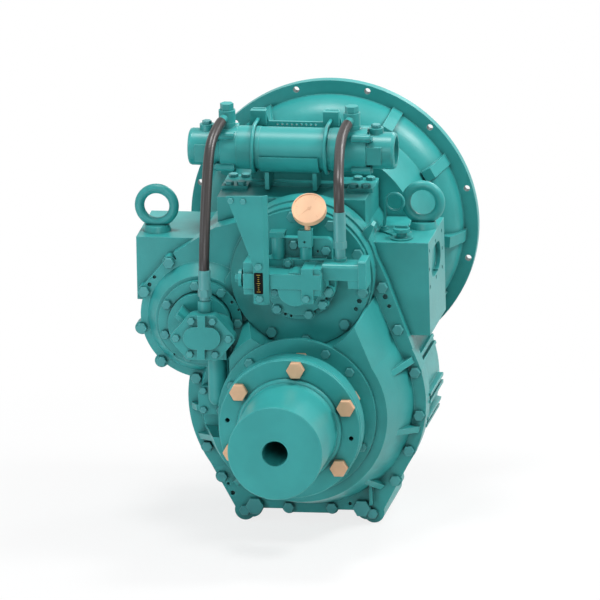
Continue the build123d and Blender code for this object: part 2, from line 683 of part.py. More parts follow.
def clutch_gear(centre, phase):
    """Clutch drum with the gear that ties the two shafts together."""
    with BuildPart() as piece:
        drum = [
            (SLEEVE_R, GEAR_FRONT), (CLUTCH_MODULE * CLUTCH_TEETH / 2 - 9, GEAR_FRONT),
            (CLUTCH_MODULE * CLUTCH_TEETH / 2 - 9, GEAR_BACK), (DRUM_BORE + 10, GEAR_BACK),
            (DRUM_BORE + 10, DRUM_BACK), (DRUM_BORE, DRUM_BACK), (DRUM_BORE, GEAR_FRONT - 11),
            (HUB_R, GEAR_FRONT - 11), (HUB_R, -235), (SLEEVE_R, -235),
        ]
        revolve(profile(drum, centre), axis=shaft_axis(centre))
        rim = CLUTCH_MODULE * CLUTCH_TEETH / 2 - 10
        extrude(
            gear_face(CLUTCH_TEETH, CLUTCH_MODULE, centre, phase, GEAR_BACK, rim),
            amount=GEAR_BACK - GEAR_FRONT,
        )
    return piece


def pinion(centre, phase):
    """Pinion that turns free on its shaft until its clutch takes it along."""
    with BuildPart() as piece:
        extrude(
            gear_face(PINION_TEETH, CLUTCH_MODULE, centre, phase, PINION_BACK, SLEEVE_R + RUNNING),
            amount=PINION_BACK - PINION_FRONT,
        )
        revolve(ring(centre, PINION_HUB_R, SLEEVE_R + RUNNING, PINION_FRONT, -240), axis=shaft_axis(centre))
    return piece


def plates(centre, inner, outer, places, thickness):
    """A stack of thin rings."""
    with BuildPart() as piece:
        for y in places:
            revolve(ring(centre, outer, inner, y - thickness, y), axis=shaft_axis(centre))
    return piece


def piston(centre):
    """Ring piston that squeezes the clutch plates when oil is let in behind it."""
    with BuildPart() as piece:
        revolve(
            ring(centre, DRUM_BORE - 0.06, HUB_R + 0.06, GEAR_FRONT - 27, GEAR_FRONT - 15),
            axis=shaft_axis(centre),
        )
    return piece


STEEL_Y = [-240.5 - 9 * k for k in range(5)]
FRICTION_Y = [-245.0 - 9 * k for k in range(4)]
REVERSE_ANGLE = degrees(atan2(REVERSE[1], REVERSE[0]))
ASTERN_ANGLE = degrees(atan2(REVERSE[1] - OUTPUT[1], REVERSE[0] - OUTPUT[0]))
OUTPUT_STEP = 360 / OUTPUT_TEETH
ASTERN_OFFSET = (ASTERN_ANGLE - 90) % OUTPUT_STEP

input_front = [(0, INPUT_TIP), (INPUT_R, INPUT_TIP), (INPUT_R, BELL_BACK + 20), (SLEEVE_R, BELL_BACK + 20)]
input_rear = [(22, BODY_FACE), (22, SHAFT_REAR), (0, SHAFT_REAR)]
save(clutch_shaft(INPUT, input_front, input_rear), "input_shaft")
reverse_front = [(0, BELL_BACK - 6), (SLEEVE_R, BELL_BACK - 6)]
reverse_rear = [(PUMP_SHAFT_R, BODY_FACE), (PUMP_SHAFT_R, PUMP_GEAR_FACE), (0, PUMP_GEAR_FACE)]
save(clutch_shaft(REVERSE, reverse_front, reverse_rear), "reverse_shaft")
save(clutch_gear(INPUT, REVERSE_ANGLE), "input_clutch_gear")
save(clutch_gear(REVERSE, REVERSE_ANGLE + 180 + 180 / CLUTCH_TEETH), "reverse_clutch_gear")
save(pinion(INPUT, -90 + 180 / PINION_TEETH), "ahead_pinion")
save(
    pinion(REVERSE, ASTERN_ANGLE + 180 + ASTERN_OFFSET * OUTPUT_TEETH / PINION_TEETH + 180 / PINION_TEETH),
    "astern_pinion",
)
save(piston(INPUT), "ahead_piston")
save(piston(REVERSE), "astern_piston")
save(plates(INPUT, 60, DRUM_BORE, STEEL_Y, 3), "ahead_steel_plates")
save(plates(REVERSE, 60, DRUM_BORE, STEEL_Y, 3), "astern_steel_plates")
save(plates(INPUT, PINION_HUB_R, 80, FRICTION_Y, 3), "ahead_friction_plates")
save(plates(REVERSE, PINION_HUB_R, 80, FRICTION_Y, 3), "astern_friction_plates")

# Output shaft with its flange, its gear and the bearings of all three shafts
with BuildPart() as output_shaft:
    revolve(
        profile(
            [(0, BELL_BACK - 6), (OUTPUT_R, BELL_BACK - 6), (OUTPUT_R, PINION_FRONT),
             (OUTPUT_SEAT_R, PINION_FRONT), (OUTPUT_SEAT_R, BOSS_FACE + 1), (SEAL_R, BOSS_FACE + 1),
             (SEAL_R, COUPLING_FACE + COUPLING_T),
             (COUPLING_R, COUPLING_FACE + COUPLING_T), (COUPLING_R, COUPLING_FACE), (0, COUPLING_FACE)],
            OUTPUT,
        ),
        axis=shaft_axis(OUTPUT),
    )
    COUPLING_ANGLES = [COUPLING_PHASE + 360 / COUPLING_BOLTS * k for k in range(COUPLING_BOLTS)]
    COUPLING_POINTS = [polar(OUTPUT, COUPLING_PCD / 2, angle) for angle in COUPLING_ANGLES]
    add(bolt_holes(COUPLING_POINTS, behind(COUPLING_FACE), M20, COUPLING_T), mode=Mode.SUBTRACT)
save(output_shaft, "output_shaft")

OUTPUT_PITCH_R = CLUTCH_MODULE * OUTPUT_TEETH / 2
WEB_BACK = PINION_BACK + 16
WEB_FRONT = PINION_FRONT - 16
with BuildPart() as output_gear:
    hub_r = OUTPUT_SEAT_R + 22
    rim_r = OUTPUT_PITCH_R - 30
    web = [
        (OUTPUT_SEAT_R, PINION_BACK), (hub_r, PINION_BACK), (hub_r, WEB_BACK), (rim_r, WEB_BACK),
        (rim_r, PINION_BACK), (OUTPUT_PITCH_R - 8, PINION_BACK), (OUTPUT_PITCH_R - 8, PINION_FRONT),
        (rim_r, PINION_FRONT), (rim_r, WEB_FRONT), (hub_r, WEB_FRONT), (hub_r, PINION_FRONT),
        (OUTPUT_SEAT_R, PINION_FRONT),
    ]
    revolve(profile(web, OUTPUT), axis=shaft_axis(OUTPUT))
    extrude(
        gear_face(OUTPUT_TEETH, CLUTCH_MODULE, OUTPUT, 90, PINION_BACK, OUTPUT_PITCH_R - 9),
        amount=PINION_BACK - PINION_FRONT,
    )
    with BuildSketch(behind(PINION_BACK, OUTPUT)):
        with PolarLocations((hub_r + rim_r) / 2, 6):
            Circle(24)
    extrude(amount=PINION_BACK - PINION_FRONT, mode=Mode.SUBTRACT)
save(output_gear, "output_gear")

with BuildPart() as shaft_bearings:
    revolve(ring(INPUT, BEARING_R, SLEEVE_R + RUNNING, BEARING_IN, BELL_BACK), axis=shaft_axis(INPUT))
    revolve(ring(REVERSE, BEARING_R, SLEEVE_R + RUNNING, BEARING_IN, BELL_BACK - 5), axis=shaft_axis(REVERSE))
    revolve(ring(OUTPUT, 70, OUTPUT_R + RUNNING, BEARING_IN, BELL_BACK - 5), axis=shaft_axis(OUTPUT))
    for shaft in (INPUT, REVERSE):
        rear_bearing = ring(shaft, REAR_BEARING_R, SLEEVE_R + RUNNING, BODY_FACE, REAR_WALL_IN)
        revolve(rear_bearing, axis=shaft_axis(shaft))
    revolve(ring(OUTPUT, 82, OUTPUT_SEAT_R + RUNNING, BOSS_FACE + 2, BOSS_FACE + 42), axis=shaft_axis(OUTPUT))
save(shaft_bearings, "shaft_bearings")

with BuildPart() as shaft_seals:
    output_seal = ring(OUTPUT, OUTPUT_SEAL_BORE, SEAL_R + RUNNING, OUTPUT_COVER_FACE - 7, BOSS_FACE)
    revolve(output_seal, axis=shaft_axis(OUTPUT))
    revolve(ring(INPUT, 42, SLEEVE_R + RUNNING, BELL_BACK, BELL_BACK + 9), axis=shaft_axis(INPUT))
save(shaft_seals, "shaft_seals")

# Half-coupling for the propeller shaft: its flange, and the long blank nose behind it
NOSE_ROOT = COUPLING_FACE - COUPLING_T
with BuildPart() as companion_flange:
    revolve(
        profile(
            [(NOSE_BORE_R, COUPLING_FACE), (COUPLING_R, COUPLING_FACE), (COUPLING_R, NOSE_ROOT + 7),
             (COUPLING_R - 1.5, NOSE_ROOT + 6), (COUPLING_R - 1.5, NOSE_ROOT + 1),
             (COUPLING_R - 2.5, NOSE_ROOT), (NOSE_BORE_R, NOSE_ROOT)],
            OUTPUT,
        ),
        axis=shaft_axis(OUTPUT),
    )
    add(bolt_holes(COUPLING_POINTS, behind(COUPLING_FACE - COUPLING_T), M20, COUPLING_T), mode=Mode.SUBTRACT)
    with BuildSketch(behind(COUPLING_FACE - COUPLING_T)):
        with Locations(*[polar(OUTPUT, COUPLING_PCD / 2, COUPLING_PHASE + a) for a in (90, 270)]):
            Circle(4.5)
    extrude(amount=-COUPLING_T, mode=Mode.SUBTRACT)
save(companion_flange, "companion_flange")

NOSE_ROOT_R = NOSE_R + 10.0
NOSE_EDGE = 1.5
with BuildPart() as coupling_nose:
    with BuildSketch(Plane.XY.offset(OUTPUT[1])):
        with BuildLine():
            Polyline((NOSE_BORE_R, NOSE_ROOT), (NOSE_ROOT_R, NOSE_ROOT), (NOSE_ROOT_R, NOSE_ROOT - 3))
            ThreePointArc(
                (NOSE_ROOT_R, NOSE_ROOT - 3),
                (NOSE_ROOT_R - 2, NOSE_ROOT - 8),
                (NOSE_ROOT_R - 7, NOSE_ROOT - 10),
            )
            Polyline(
                (NOSE_ROOT_R - 7, NOSE_ROOT - 10), (NOSE_R, NOSE_ROOT - 20), (NOSE_R, NOSE_FACE + NOSE_EDGE),
                (NOSE_R - NOSE_EDGE, NOSE_FACE), (NOSE_BORE_R + NOSE_EDGE, NOSE_FACE),
                (NOSE_BORE_R, NOSE_FACE + NOSE_EDGE), (NOSE_BORE_R, NOSE_ROOT),
            )
        make_face()
    revolve(axis=shaft_axis(OUTPUT))
    with BuildSketch(behind(NOSE_ROOT - 10)):
        with Locations(*COUPLING_POINTS):
            Circle(M20[0] + 3)
    extrude(amount=-10, mode=Mode.SUBTRACT)
save(coupling_nose, "coupling_nose")

with BuildPart() as coupling_bolts:
    add(bolts(COUPLING_POINTS, behind(COUPLING_FACE - COUPLING_T), M20, 2 * COUPLING_T))
    with BuildSketch(behind(COUPLING_FACE + COUPLING_T)):
        with Locations(*COUPLING_POINTS):
            RegularPolygon(M20[0], 6)
    extrude(amount=-16)
save(coupling_bolts, "coupling_bolts")

# Gear pump on the end of the reverse shaft
PUMP_BOLTS = [
    (PUMP_MIDDLE[0] + side * dx, PUMP_MIDDLE[1] + dz)
    for dx, dz in ((20.5, 32), (50.5, -2), (24.5, -33))
    for side in (-1, 1)
]
PUMP_TIP_R = PUMP_MODULE * (PUMP_TEETH / 2 + PUMP_ADDENDUM)
PUMP_BODY_FRONT = -442.0
PUMP_FLANGE_FRONT = PUMP_JOINT + 14.0
PORT = (-174.5, -490.0)
VALVE_PORT = (90.0, -500.0)
VALVE_HOSE_FOOT = 64.0
PORT_Z = -30.0
PUMP_TOP = PUMP_MIDDLE[1] + 32 + 11
PUMP_BOTTOM = PUMP_MIDDLE[1] - 33 - 11
SUCTION_X = -160.0
SUCTION_Y = -450.0
SUCTION_Z = PUMP_BOTTOM - 14
ELBOW_Z = -231.0
SUCTION_R = 18.0


def pump_outline(y, edge):
    """Outline that wraps the six pump bolts."""
    with BuildSketch(behind(y)) as sketch:
        with Locations(*PUMP_BOLTS):
            Circle(edge)
        make_hull()
    return sketch.sketch


with BuildPart() as oil_pump_body:
    extrude(pump_outline(PUMP_JOINT, 11), amount=PUMP_JOINT - PUMP_FLANGE_FRONT)
    with BuildSketch(behind(PUMP_JOINT)):
        with Locations(REVERSE, PUMP_IDLER):
            Circle(PUMP_TIP_R + 7)
        make_hull()
    extrude(amount=PUMP_JOINT - PUMP_BODY_FRONT)
    with BuildSketch(behind(PUMP_JOINT)):
        with Locations(Location((PUMP_MIDDLE[0] - 38, PUMP_MIDDLE[1] + 24, 0), (0, 0, 135))):
            Rectangle(40, 8)
    extrude(amount=PUMP_JOINT - PUMP_BODY_FRONT)
    revolve(ring(REVERSE, PUMP_SEAT_R - 2, 0, RING_FLOOR, PUMP_BODY_FRONT), axis=shaft_axis(REVERSE))
    with BuildSketch(Plane.XY.offset(PUMP_TOP - 8)):
        with Locations(PORT):
            Circle(14)
    extrude(amount=PORT_Z - PUMP_TOP + 8)
    with BuildSketch(Plane.XY.offset(SUCTION_Z)):
        with Locations((SUCTION_X, SUCTION_Y)):
            Rectangle(2 * SUCTION_R + 6, 2 * SUCTION_R)
    extrude(amount=PUMP_BOTTOM + 32 - SUCTION_Z)
    with BuildSketch(behind(PUMP_JOINT)):
        with Locations(REVERSE, PUMP_IDLER):
            Circle(PUMP_TIP_R + 0.2)
    extrude(amount=PUMP_JOINT - PUMP_GEAR_FRONT, mode=Mode.SUBTRACT)
    drive_bore = ring(REVERSE, PUMP_SHAFT_R + RUNNING, 0, PUMP_JOINT, RING_FLOOR)
    revolve(drive_bore, axis=shaft_axis(REVERSE), mode=Mode.SUBTRACT)
    idler_bore = ring(PUMP_IDLER, 8 + RUNNING, 0, PUMP_JOINT, PUMP_GEAR_FRONT + 16)
    revolve(idler_bore, axis=shaft_axis(PUMP_IDLER), mode=Mode.SUBTRACT)
    add(bolt_holes(PUMP_BOLTS, behind(PUMP_JOINT), M8, 14), mode=Mode.SUBTRACT)
save(oil_pump_body, "oil_pump_body")

with BuildPart() as oil_pump_cover:
    extrude(pump_outline(PUMP_FACE, 11.5), amount=PUMP_FACE - PUMP_JOINT)
    with BuildSketch(behind(PUMP_FACE - 8)):
        with Locations(PUMP_MIDDLE):
            SlotOverall(72, 44)
        with Locations((PUMP_MIDDLE[0], PUMP_MIDDLE[1] + 24)):
            Rectangle(15, 40)
        with Locations((PUMP_MIDDLE[0] - 2, PUMP_MIDDLE[1] - 24)):
            Rectangle(15, 36)
    extrude(amount=-10)
    idler_bore = ring(PUMP_IDLER, 8 + RUNNING, 0, PUMP_JOINT - 8, PUMP_JOINT)
    revolve(idler_bore, axis=shaft_axis(PUMP_IDLER), mode=Mode.SUBTRACT)
    add(bolt_holes(PUMP_BOLTS, behind(PUMP_FACE), M8, 15), mode=Mode.SUBTRACT)
save(oil_pump_cover, "oil_pump_cover")

with BuildPart() as pump_drive_gear:
    extrude(
        gear_face(PUMP_TEETH, PUMP_MODULE, REVERSE, PUMP_TILT, PUMP_GEAR_FACE, PUMP_SHAFT_R, PUMP_ADDENDUM),
        amount=PUMP_GEAR_FACE - PUMP_GEAR_FRONT + 1,
    )
save(pump_drive_gear, "pump_drive_gear")

with BuildPart() as pump_idler_gear:
    IDLER_PHASE = PUMP_TILT + 180 + 180 / PUMP_TEETH
    extrude(
        gear_face(PUMP_TEETH, PUMP_MODULE, PUMP_IDLER, IDLER_PHASE, PUMP_GEAR_FACE, 5, PUMP_ADDENDUM),
        amount=PUMP_GEAR_FACE - PUMP_GEAR_FRONT + 1,
    )
    revolve(ring(PUMP_IDLER, 8, 0, PUMP_JOINT - 7, PUMP_GEAR_FRONT + 15), axis=shaft_axis(PUMP_IDLER))
save(pump_idler_gear, "pump_idler_gear")

with BuildPart() as suction_elbow:
    with BuildSketch(behind(SUCTION_SEAT - 22)):
        with Locations(SUCTION_PLATE):
            RectangleRounded(52, 56, 14)
    extrude(amount=-22)
    with BuildSketch(Plane.XY.offset(SUCTION_Z)):
        with Locations((SUCTION_X, SUCTION_Y)):
            Circle(SUCTION_R)
    extrude(amount=ELBOW_Z - SUCTION_Z)
    with Locations((SUCTION_X, SUCTION_Y, ELBOW_Z)):
        Sphere(SUCTION_R)
    with BuildSketch(behind(SUCTION_Y)):
        with Locations((SUCTION_X, ELBOW_Z)):
            Circle(SUCTION_R)
    extrude(amount=SUCTION_Y - SUCTION_SEAT)
    add(bolt_holes(SUCTION_BOLTS, behind(SUCTION_SEAT - 22), M8, 22), mode=Mode.SUBTRACT)
    add(tapped_holes([(-171.6, -237.6, 3.0)], behind(SUCTION_SEAT - 22), 12), mode=Mode.SUBTRACT)
save(suction_elbow, "suction_elbow")

# Control valve: one casting with the spool across it, the pressure chamber and a round bowl
SPOOL = (-528.0, 26.5)
SPOOL_R = 9.0
VALVE_FRONT = -550.0
VALVE_STEP = -496.0
PORT_FACE = -476.0
CHAMBER_FACE = -530.0
PLATE_BACK = -557.0
PLATE_T = 3.0
PLATE_BOLTS = [(-58.0, 58.0), (-57.0, -5.0)]
PLATE_SCREWS = [(-109.0, 188.0), (-85.0, 187.0)]
BOWL = (8.0, 11.0)
BOWL_R = 33.0
FRONT_PLUGS = [(31.0, -6.0)]
STEP_PLUGS = [(-10.5, 49.5)]
SIDE_PLUGS = [(-38.0, -9.5)]
PORT_PLUGS = [(-3.0, 80.0), (59.0, 70.0)]
SPARE_PORT = [(43.0, 68.0, 2.6)]
REGULATOR = (-31.0, -489.0)
GAUGE_X, GAUGE_Y = 22.0, -488.0
VALVE_TOP = 57.0
with BuildPart() as valve_body:
    with BuildSketch(behind(VALVE_FLANGE)):
        Circle(VALVE_BOLT_R - 2)
        with Locations(*VALVE_BOLTS):
            Circle(11)
    extrude(amount=VALVE_FLANGE - VALVE_SEAT)
    with BuildSketch(behind(PORT_FACE)):
        with Locations((15, 62)):
            RectangleRounded(110, 62, 10)
    extrude(amount=PORT_FACE - VALVE_FLANGE - 12)
    with BuildSketch(behind(VALVE_STEP)):
        with Locations((4, VALVE_TOP / 2)):
            Rectangle(112, VALVE_TOP)
        with Locations(*SIDE_PLUGS):
            Circle(12)
    extrude(amount=VALVE_STEP - VALVE_FLANGE)
    with BuildSketch(behind(VALVE_STEP - 6)):
        with Locations(*STEP_PLUGS):
            Circle(10)
    extrude(amount=-10)
    # Main block, with the upright one that closes it on the right
    with BuildSketch(behind(VALVE_FRONT)):
        with Locations((-15, SPOOL[1])):
            Rectangle(150, 29)
        with Locations((33.5, 18.5)):
            Rectangle(23, 69)
    extrude(amount=VALVE_FRONT - VALVE_FLANGE)
    with BuildSketch(behind(VALVE_FRONT + 3)):
        with Locations((52, 25.5)):
            Rectangle(14, 53)
    extrude(amount=-60)
    # Head on the left end
    with BuildSketch(behind(VALVE_FRONT + 6)):
        with Locations((-80, 30)):
            Rectangle(20, 62)
    extrude(amount=-68)
    # Right-hand pressure chamber, its lower lip and the seat of the upper hose
    with BuildSketch(across(59)):
        with Locations((CHAMBER_FACE + 24, 41.5)):
            RectangleRounded(48, 31, 9)
        with Locations((CHAMBER_FACE + 24, 33)):
            Rectangle(48, 14)
    extrude(amount=70)
    with BuildSketch(across(108.5)):
        with Locations((CHAMBER_FACE + 24, 22)):
            Rectangle(46, 24)
    extrude(amount=20)
    with BuildSketch(Plane.XY.offset(VALVE_TOP - 4)):
        with Locations(VALVE_PORT):
            Circle(12)
    extrude(amount=VALVE_HOSE_FOOT - VALVE_TOP + 4)
    # Round bowl under the main block
    with BuildSketch(behind(VALVE_FRONT + 5)):
        with Locations(BOWL):
            Circle(BOWL_R)
    extrude(amount=VALVE_FRONT + 5 - VALVE_FLANGE)
    # Pad that carries the position plate
    with BuildSketch(behind(PLATE_BACK)):
        with Locations((-58, 26)):
            Rectangle(18, 80)
    extrude(amount=PLATE_BACK - VALVE_FRONT - 15)
    # Spool bore
    with BuildSketch(across(-94)):
        with Locations(SPOOL):
            Circle(SPOOL_R + RUNNING)
    extrude(amount=140, mode=Mode.SUBTRACT)
    add(bolt_holes(VALVE_BOLTS, behind(VALVE_FLANGE), M10, 12), mode=Mode.SUBTRACT)
    add(bolt_holes(PLATE_BOLTS, behind(PLATE_BACK), M8, 15), mode=Mode.SUBTRACT)
    add(bolt_holes(FRONT_PLUGS, behind(VALVE_FRONT), M8, 12), mode=Mode.SUBTRACT)
    add(bolt_holes(STEP_PLUGS, behind(VALVE_STEP - 6), M8, 12), mode=Mode.SUBTRACT)
    add(bolt_holes(SIDE_PLUGS, behind(VALVE_STEP), M8, 12), mode=Mode.SUBTRACT)
    add(bolt_holes(PORT_PLUGS, behind(PORT_FACE), M10, 10), mode=Mode.SUBTRACT)
    add(tapped_holes(SPARE_PORT, behind(PORT_FACE)), mode=Mode.SUBTRACT)
save(valve_body, "valve_body")

DISC_R = 17.0
with BuildPart() as valve_spool:
    with BuildSketch(across(-101)):
        with Locations(SPOOL):
            Circle(DISC_R)
    extrude(amount=6.5)
    with BuildSketch(across(-101)):
        with Locations(SPOOL):
            Circle(SPOOL_R)
    extrude(amount=145)
    with BuildSketch(across(-101)):
        with Locations(SPOOL):
            RegularPolygon(8, 6)
    extrude(amount=-7)
    with BuildSketch(across(-101)):
        with Locations(SPOOL):
            with PolarLocations(DISC_R - 4.5, 5, start_angle=60, angular_range=180):
                Circle(2.2)
    extrude(amount=7, mode=Mode.SUBTRACT)
save(valve_spool, "valve_spool")

with BuildPart() as valve_end_cover:
    with BuildSketch(across(129)):
        with Locations((CHAMBER_FACE + 24, 37)):
            RectangleRounded(52, 56, 5)
    extrude(amount=15)
save(valve_end_cover, "valve_end_cover")

with BuildPart() as regulating_cylinder:
    with BuildSketch(Plane.XY.offset(VALVE_TOP)):
        with Locations(REGULATOR):
            Circle(12.3)
    extrude(amount=43)
    with BuildSketch(Plane.XY.offset(VALVE_TOP + 43)):
        with Locations(REGULATOR):
            Rectangle(29, 25)
    extrude(amount=10)
save(regulating_cylinder, "regulating_cylinder")

with BuildPart() as gauge_block:
    with BuildSketch(Plane.XY.offset(VALVE_TOP)):
        with Locations((GAUGE_X, GAUGE_Y)):
            Circle(11.75)
    extrude(amount=24)
    with BuildSketch(Plane.XY.offset(VALVE_TOP + 24)):
        with Locations((GAUGE_X, GAUGE_Y)):
            Rectangle(26, 20)
    extrude(amount=33)
    add(tapped_holes([(GAUGE_X - 0.5, 91.5, 2.2)], behind(GAUGE_Y - 10), 5), mode=Mode.SUBTRACT)
save(gauge_block, "gauge_block")

GAUGE_TILT = 46.0
GAUGE_R = 33.0
GAUGE_CENTRE = (29.5, GAUGE_Y, 156.6)
gauge_plane = Plane(
    origin=GAUGE_CENTRE,
    x_dir=(1, 0, 0),
    z_dir=(0, -cos(radians(GAUGE_TILT)), sin(radians(GAUGE_TILT))),
)
with BuildPart() as gauge_case:
    with BuildSketch(gauge_plane.offset(-12)):
        Circle(GAUGE_R)
    extrude(amount=12)
    with BuildSketch(gauge_plane.offset(-3)):
        Circle(GAUGE_R - 2.2)
    extrude(amount=4, mode=Mode.SUBTRACT)
    with BuildSketch(Plane.XY.offset(VALVE_TOP + 57)):
        with Locations((GAUGE_X + 4, GAUGE_Y)):
            Circle(5.5)
    extrude(amount=20)
save(gauge_case, "gauge_case")

with BuildPart() as gauge_face:
    with BuildSketch(gauge_plane.offset(-3)):
        Circle(GAUGE_R - 2.2)
    extrude(amount=1.5)
save(gauge_face, "gauge_face")

# Oil cooler across the top
COOLER_PLANE = Plane(origin=(0, COOLER_Y, COOLER_Z), x_dir=(1, 0, 0), z_dir=(0, -1, 0))
COOLER_AXIS = Axis((0, COOLER_Y, COOLER_Z), (1, 0, 0))


def along_cooler(points):
    """A closed outline of (x, radius) points, ready to revolve about the cooler axis."""
    with BuildSketch(COOLER_PLANE) as sketch:
        with BuildLine():
            Polyline(*points, close=True)
        make_face()
    return sketch.sketch


with BuildPart() as cooler_shell:
    revolve(
        along_cooler(
            [(COOLER_LEFT, 37), (COOLER_LEFT, 41.6), (-94, 41.6), (-94, COOLER_R), (44, COOLER_R), (44, 41.6),
             (COOLER_RIGHT, 41.6), (COOLER_RIGHT, 37)]
        ),
        axis=COOLER_AXIS,
    )
save(cooler_shell, "cooler_shell")

with BuildPart() as cooler_tubes:
    for x in (COOLER_LEFT + 2, COOLER_RIGHT - 6):
        with BuildSketch(across(x)):
            with Locations((COOLER_Y, COOLER_Z)):
                Circle(36.9)
        extrude(amount=4)
    with BuildSketch(across(COOLER_LEFT + 2)):
        with Locations((COOLER_Y, COOLER_Z)):
            with PolarLocations(22, 6):
                Circle(5)
            Circle(5)
    extrude(amount=COOLER_RIGHT - COOLER_LEFT - 4)
save(cooler_tubes, "cooler_tubes")

BANJO_Z = 264.5
BANJO_LEFT = (-159.0, COOLER_Y)
BANJO_RIGHT = (81.5, COOLER_Y)
PLUG_LEFT = (-198.0, COOLER_Y)
PLUG_RIGHT = (128.0, COOLER_Y)
PLUG_Z = COOLER_Z + 45.0
LEFT_PAD = (-203.0, COOLER_Z - 4)
RIGHT_PAD = (128.0, COOLER_Z - 2)


def cooler_cap(joint, collar, end, open_to, plug, banjo, pad):
    """End cap of the cooler: collar, neck, two top bosses, front pad and bolt lugs."""
    side = 1 if end > joint else -1
    with BuildPart() as piece:
        outer = [(joint, 42), (collar, 42), (collar + side * 3, NECK_R)]
        outer += [(end - side * 6, NECK_R), (end - side * 2, NECK_R - 1.5), (end, NECK_R - 5)]
        revolve(along_cooler([(joint, 0)] + outer + [(end, 0)]), axis=COOLER_AXIS)
        with BuildSketch(Plane.XY.offset(PLUG_Z)):
            with Locations(plug):
                Circle(14)
        extrude(amount=-16)
        with BuildSketch(Plane.XY.offset(BANJO_Z)):
            with Locations(banjo):
                Circle(16)
        extrude(amount=-16)
        with BuildSketch(across(collar + side * 9)):
            with Locations(*CAP_BOLTS):
                Circle(8)
        extrude(amount=-side * 36)
        with BuildSketch(behind(COOLER_Y - 38)):
            with Locations(pad):
                Rectangle(28, 34)
        extrude(amount=-30)
        water_space = [
            (joint, 0), (joint, 30), (collar, 30), (collar, OUTLET_R), (open_to, OUTLET_R), (open_to, 0),
        ]
        revolve(along_cooler(water_space), axis=COOLER_AXIS, mode=Mode.SUBTRACT)
        bolt_places = CAP_BOLTS if side == 1 else mirrored(CAP_BOLTS)
        add(bolt_holes(bolt_places, across(collar + side * 9, side), M6, 4), mode=Mode.SUBTRACT)
        add(bolt_holes([plug], Plane.XY.offset(PLUG_Z), M10, 4), mode=Mode.SUBTRACT)
    return piece


CAP_BOLTS = [(COOLER_Y + dy, COOLER_Z + dz) for dy in (-31, 31) for dz in (-31, 31)]
left_cap = cooler_cap(
    COOLER_LEFT, COLLAR_LEFT, CAP_LEFT_END, CAP_LEFT_END + 8, PLUG_LEFT, BANJO_LEFT, LEFT_PAD
)
save(left_cap, "cooler_cap_left")
right_cap = cooler_cap(
    COOLER_RIGHT, COLLAR_RIGHT, CAP_RIGHT_END, CAP_RIGHT_END, PLUG_RIGHT, BANJO_RIGHT, RIGHT_PAD
)
save(right_cap, "cooler_cap_right")

# Bracket that carries the cooler on the tower
STRAP_X = (-106.0, 34.0)
BACK_PLATE_Y = -220.0
with BuildPart() as cooler_bracket:
    with BuildSketch(Plane.XY.offset(TOWER_TOP)):
        with Locations((-148, -240), (93, -240)):
            Rectangle(50, 78)
        with Locations((-28, -228)):
            Rectangle(240, 40)
    extrude(amount=7)
    with BuildSketch(behind(BACK_PLATE_Y - 6)):
        with Locations((-36, (TOWER_TOP + 252) / 2)):
            Rectangle(176, 252 - TOWER_TOP)
        for x in STRAP_X:
            with Locations((x, 255)):
                Trapezoid(46, 44, 76)
        with Locations(*[(-71 + 9.2 * k, 247) for k in range(9)]):
            Circle(2.3, mode=Mode.SUBTRACT)
    extrude(amount=-6)
    with BuildSketch(behind(BACK_PLATE_Y - 20)):
        with Locations(*[(x, 262) for x in STRAP_X]):
            Rectangle(30, 28)
    extrude(amount=-15)
    # Cradle under the shell, between the two straps
    with BuildSketch(across(STRAP_X[0] + 13)):
        with Locations((COOLER_Y, COOLER_Z)):
            Circle(COOLER_R + 5.3)
            Circle(COOLER_R, mode=Mode.SUBTRACT)
        with Locations((COOLER_Y, COOLER_Z + 33)):
            Rectangle(120, 80, mode=Mode.SUBTRACT)
    extrude(amount=STRAP_X[1] - STRAP_X[0] - 26)
    for x in (STRAP_X[0] + 20, STRAP_X[1] - 28):
        with BuildSketch(across(x)):
            with Locations((COOLER_Y + 8, TOWER_TOP + 24)):
                Rectangle(52, 34)
            with Locations((COOLER_Y, COOLER_Z)):
                Circle(COOLER_R, mode=Mode.SUBTRACT)
        extrude(amount=8)
    add(bolt_holes(FOOT_POINTS, Plane.XY.offset(TOWER_TOP + 7), M10, 7), mode=Mode.SUBTRACT)
save(cooler_bracket, "cooler_bracket")

STRAP_ROD = 3.6
STRAP_R = COOLER_R + 1 + STRAP_ROD
with BuildPart() as cooler_straps:
    for x in STRAP_X:
        with BuildLine(Plane(origin=(x, COOLER_Y, COOLER_Z), x_dir=(0, 1, 0), z_dir=(1, 0, 0))) as route:
            Line((BACK_PLATE_Y - 20 - COOLER_Y, STRAP_R), (0, STRAP_R))
            ThreePointArc((0, STRAP_R), (-STRAP_R, 0), (0, -STRAP_R))
            Line((0, -STRAP_R), (BACK_PLATE_Y - 6 - COOLER_Y, -STRAP_R))
        start = Plane(origin=(x, BACK_PLATE_Y - 20, COOLER_Z + STRAP_R), x_dir=(1, 0, 0), z_dir=(0, -1, 0))
        with BuildSketch(start):
            Circle(STRAP_ROD)
        sweep(path=route.line)
save(cooler_straps, "cooler_straps")

# Hoses: straight runs joined by tangent arcs
PUMP_HOSE = [
    (-166, -306, 271), (-177, -352, 258), (-179, -400, 208), (PORT[0], PORT[1], 62), (PORT[0], PORT[1], 30),
]
VALVE_HOSE = [
    (77, -306, 272), (70, -345, 261), (84, -463, 224), (VALVE_PORT[0], VALVE_PORT[1], 190),
    (VALVE_PORT[0], VALVE_PORT[1], 154),
]


def bend_radii(points):
    """Radius at each corner: inner runs are shared by two bends, end runs belong to one."""
    radii = []
    for k in range(1, len(points) - 1):
        before = Vector(*points[k]) - Vector(*points[k - 1])
        after = Vector(*points[k + 1]) - Vector(*points[k])
        first = before.length * (0.9 if k == 1 else 0.45)
        last = after.length * (0.9 if k == len(points) - 2 else 0.45)
        radii.append(min(first, last) / tan(radians(before.get_angle(after) / 2)))
    return radii


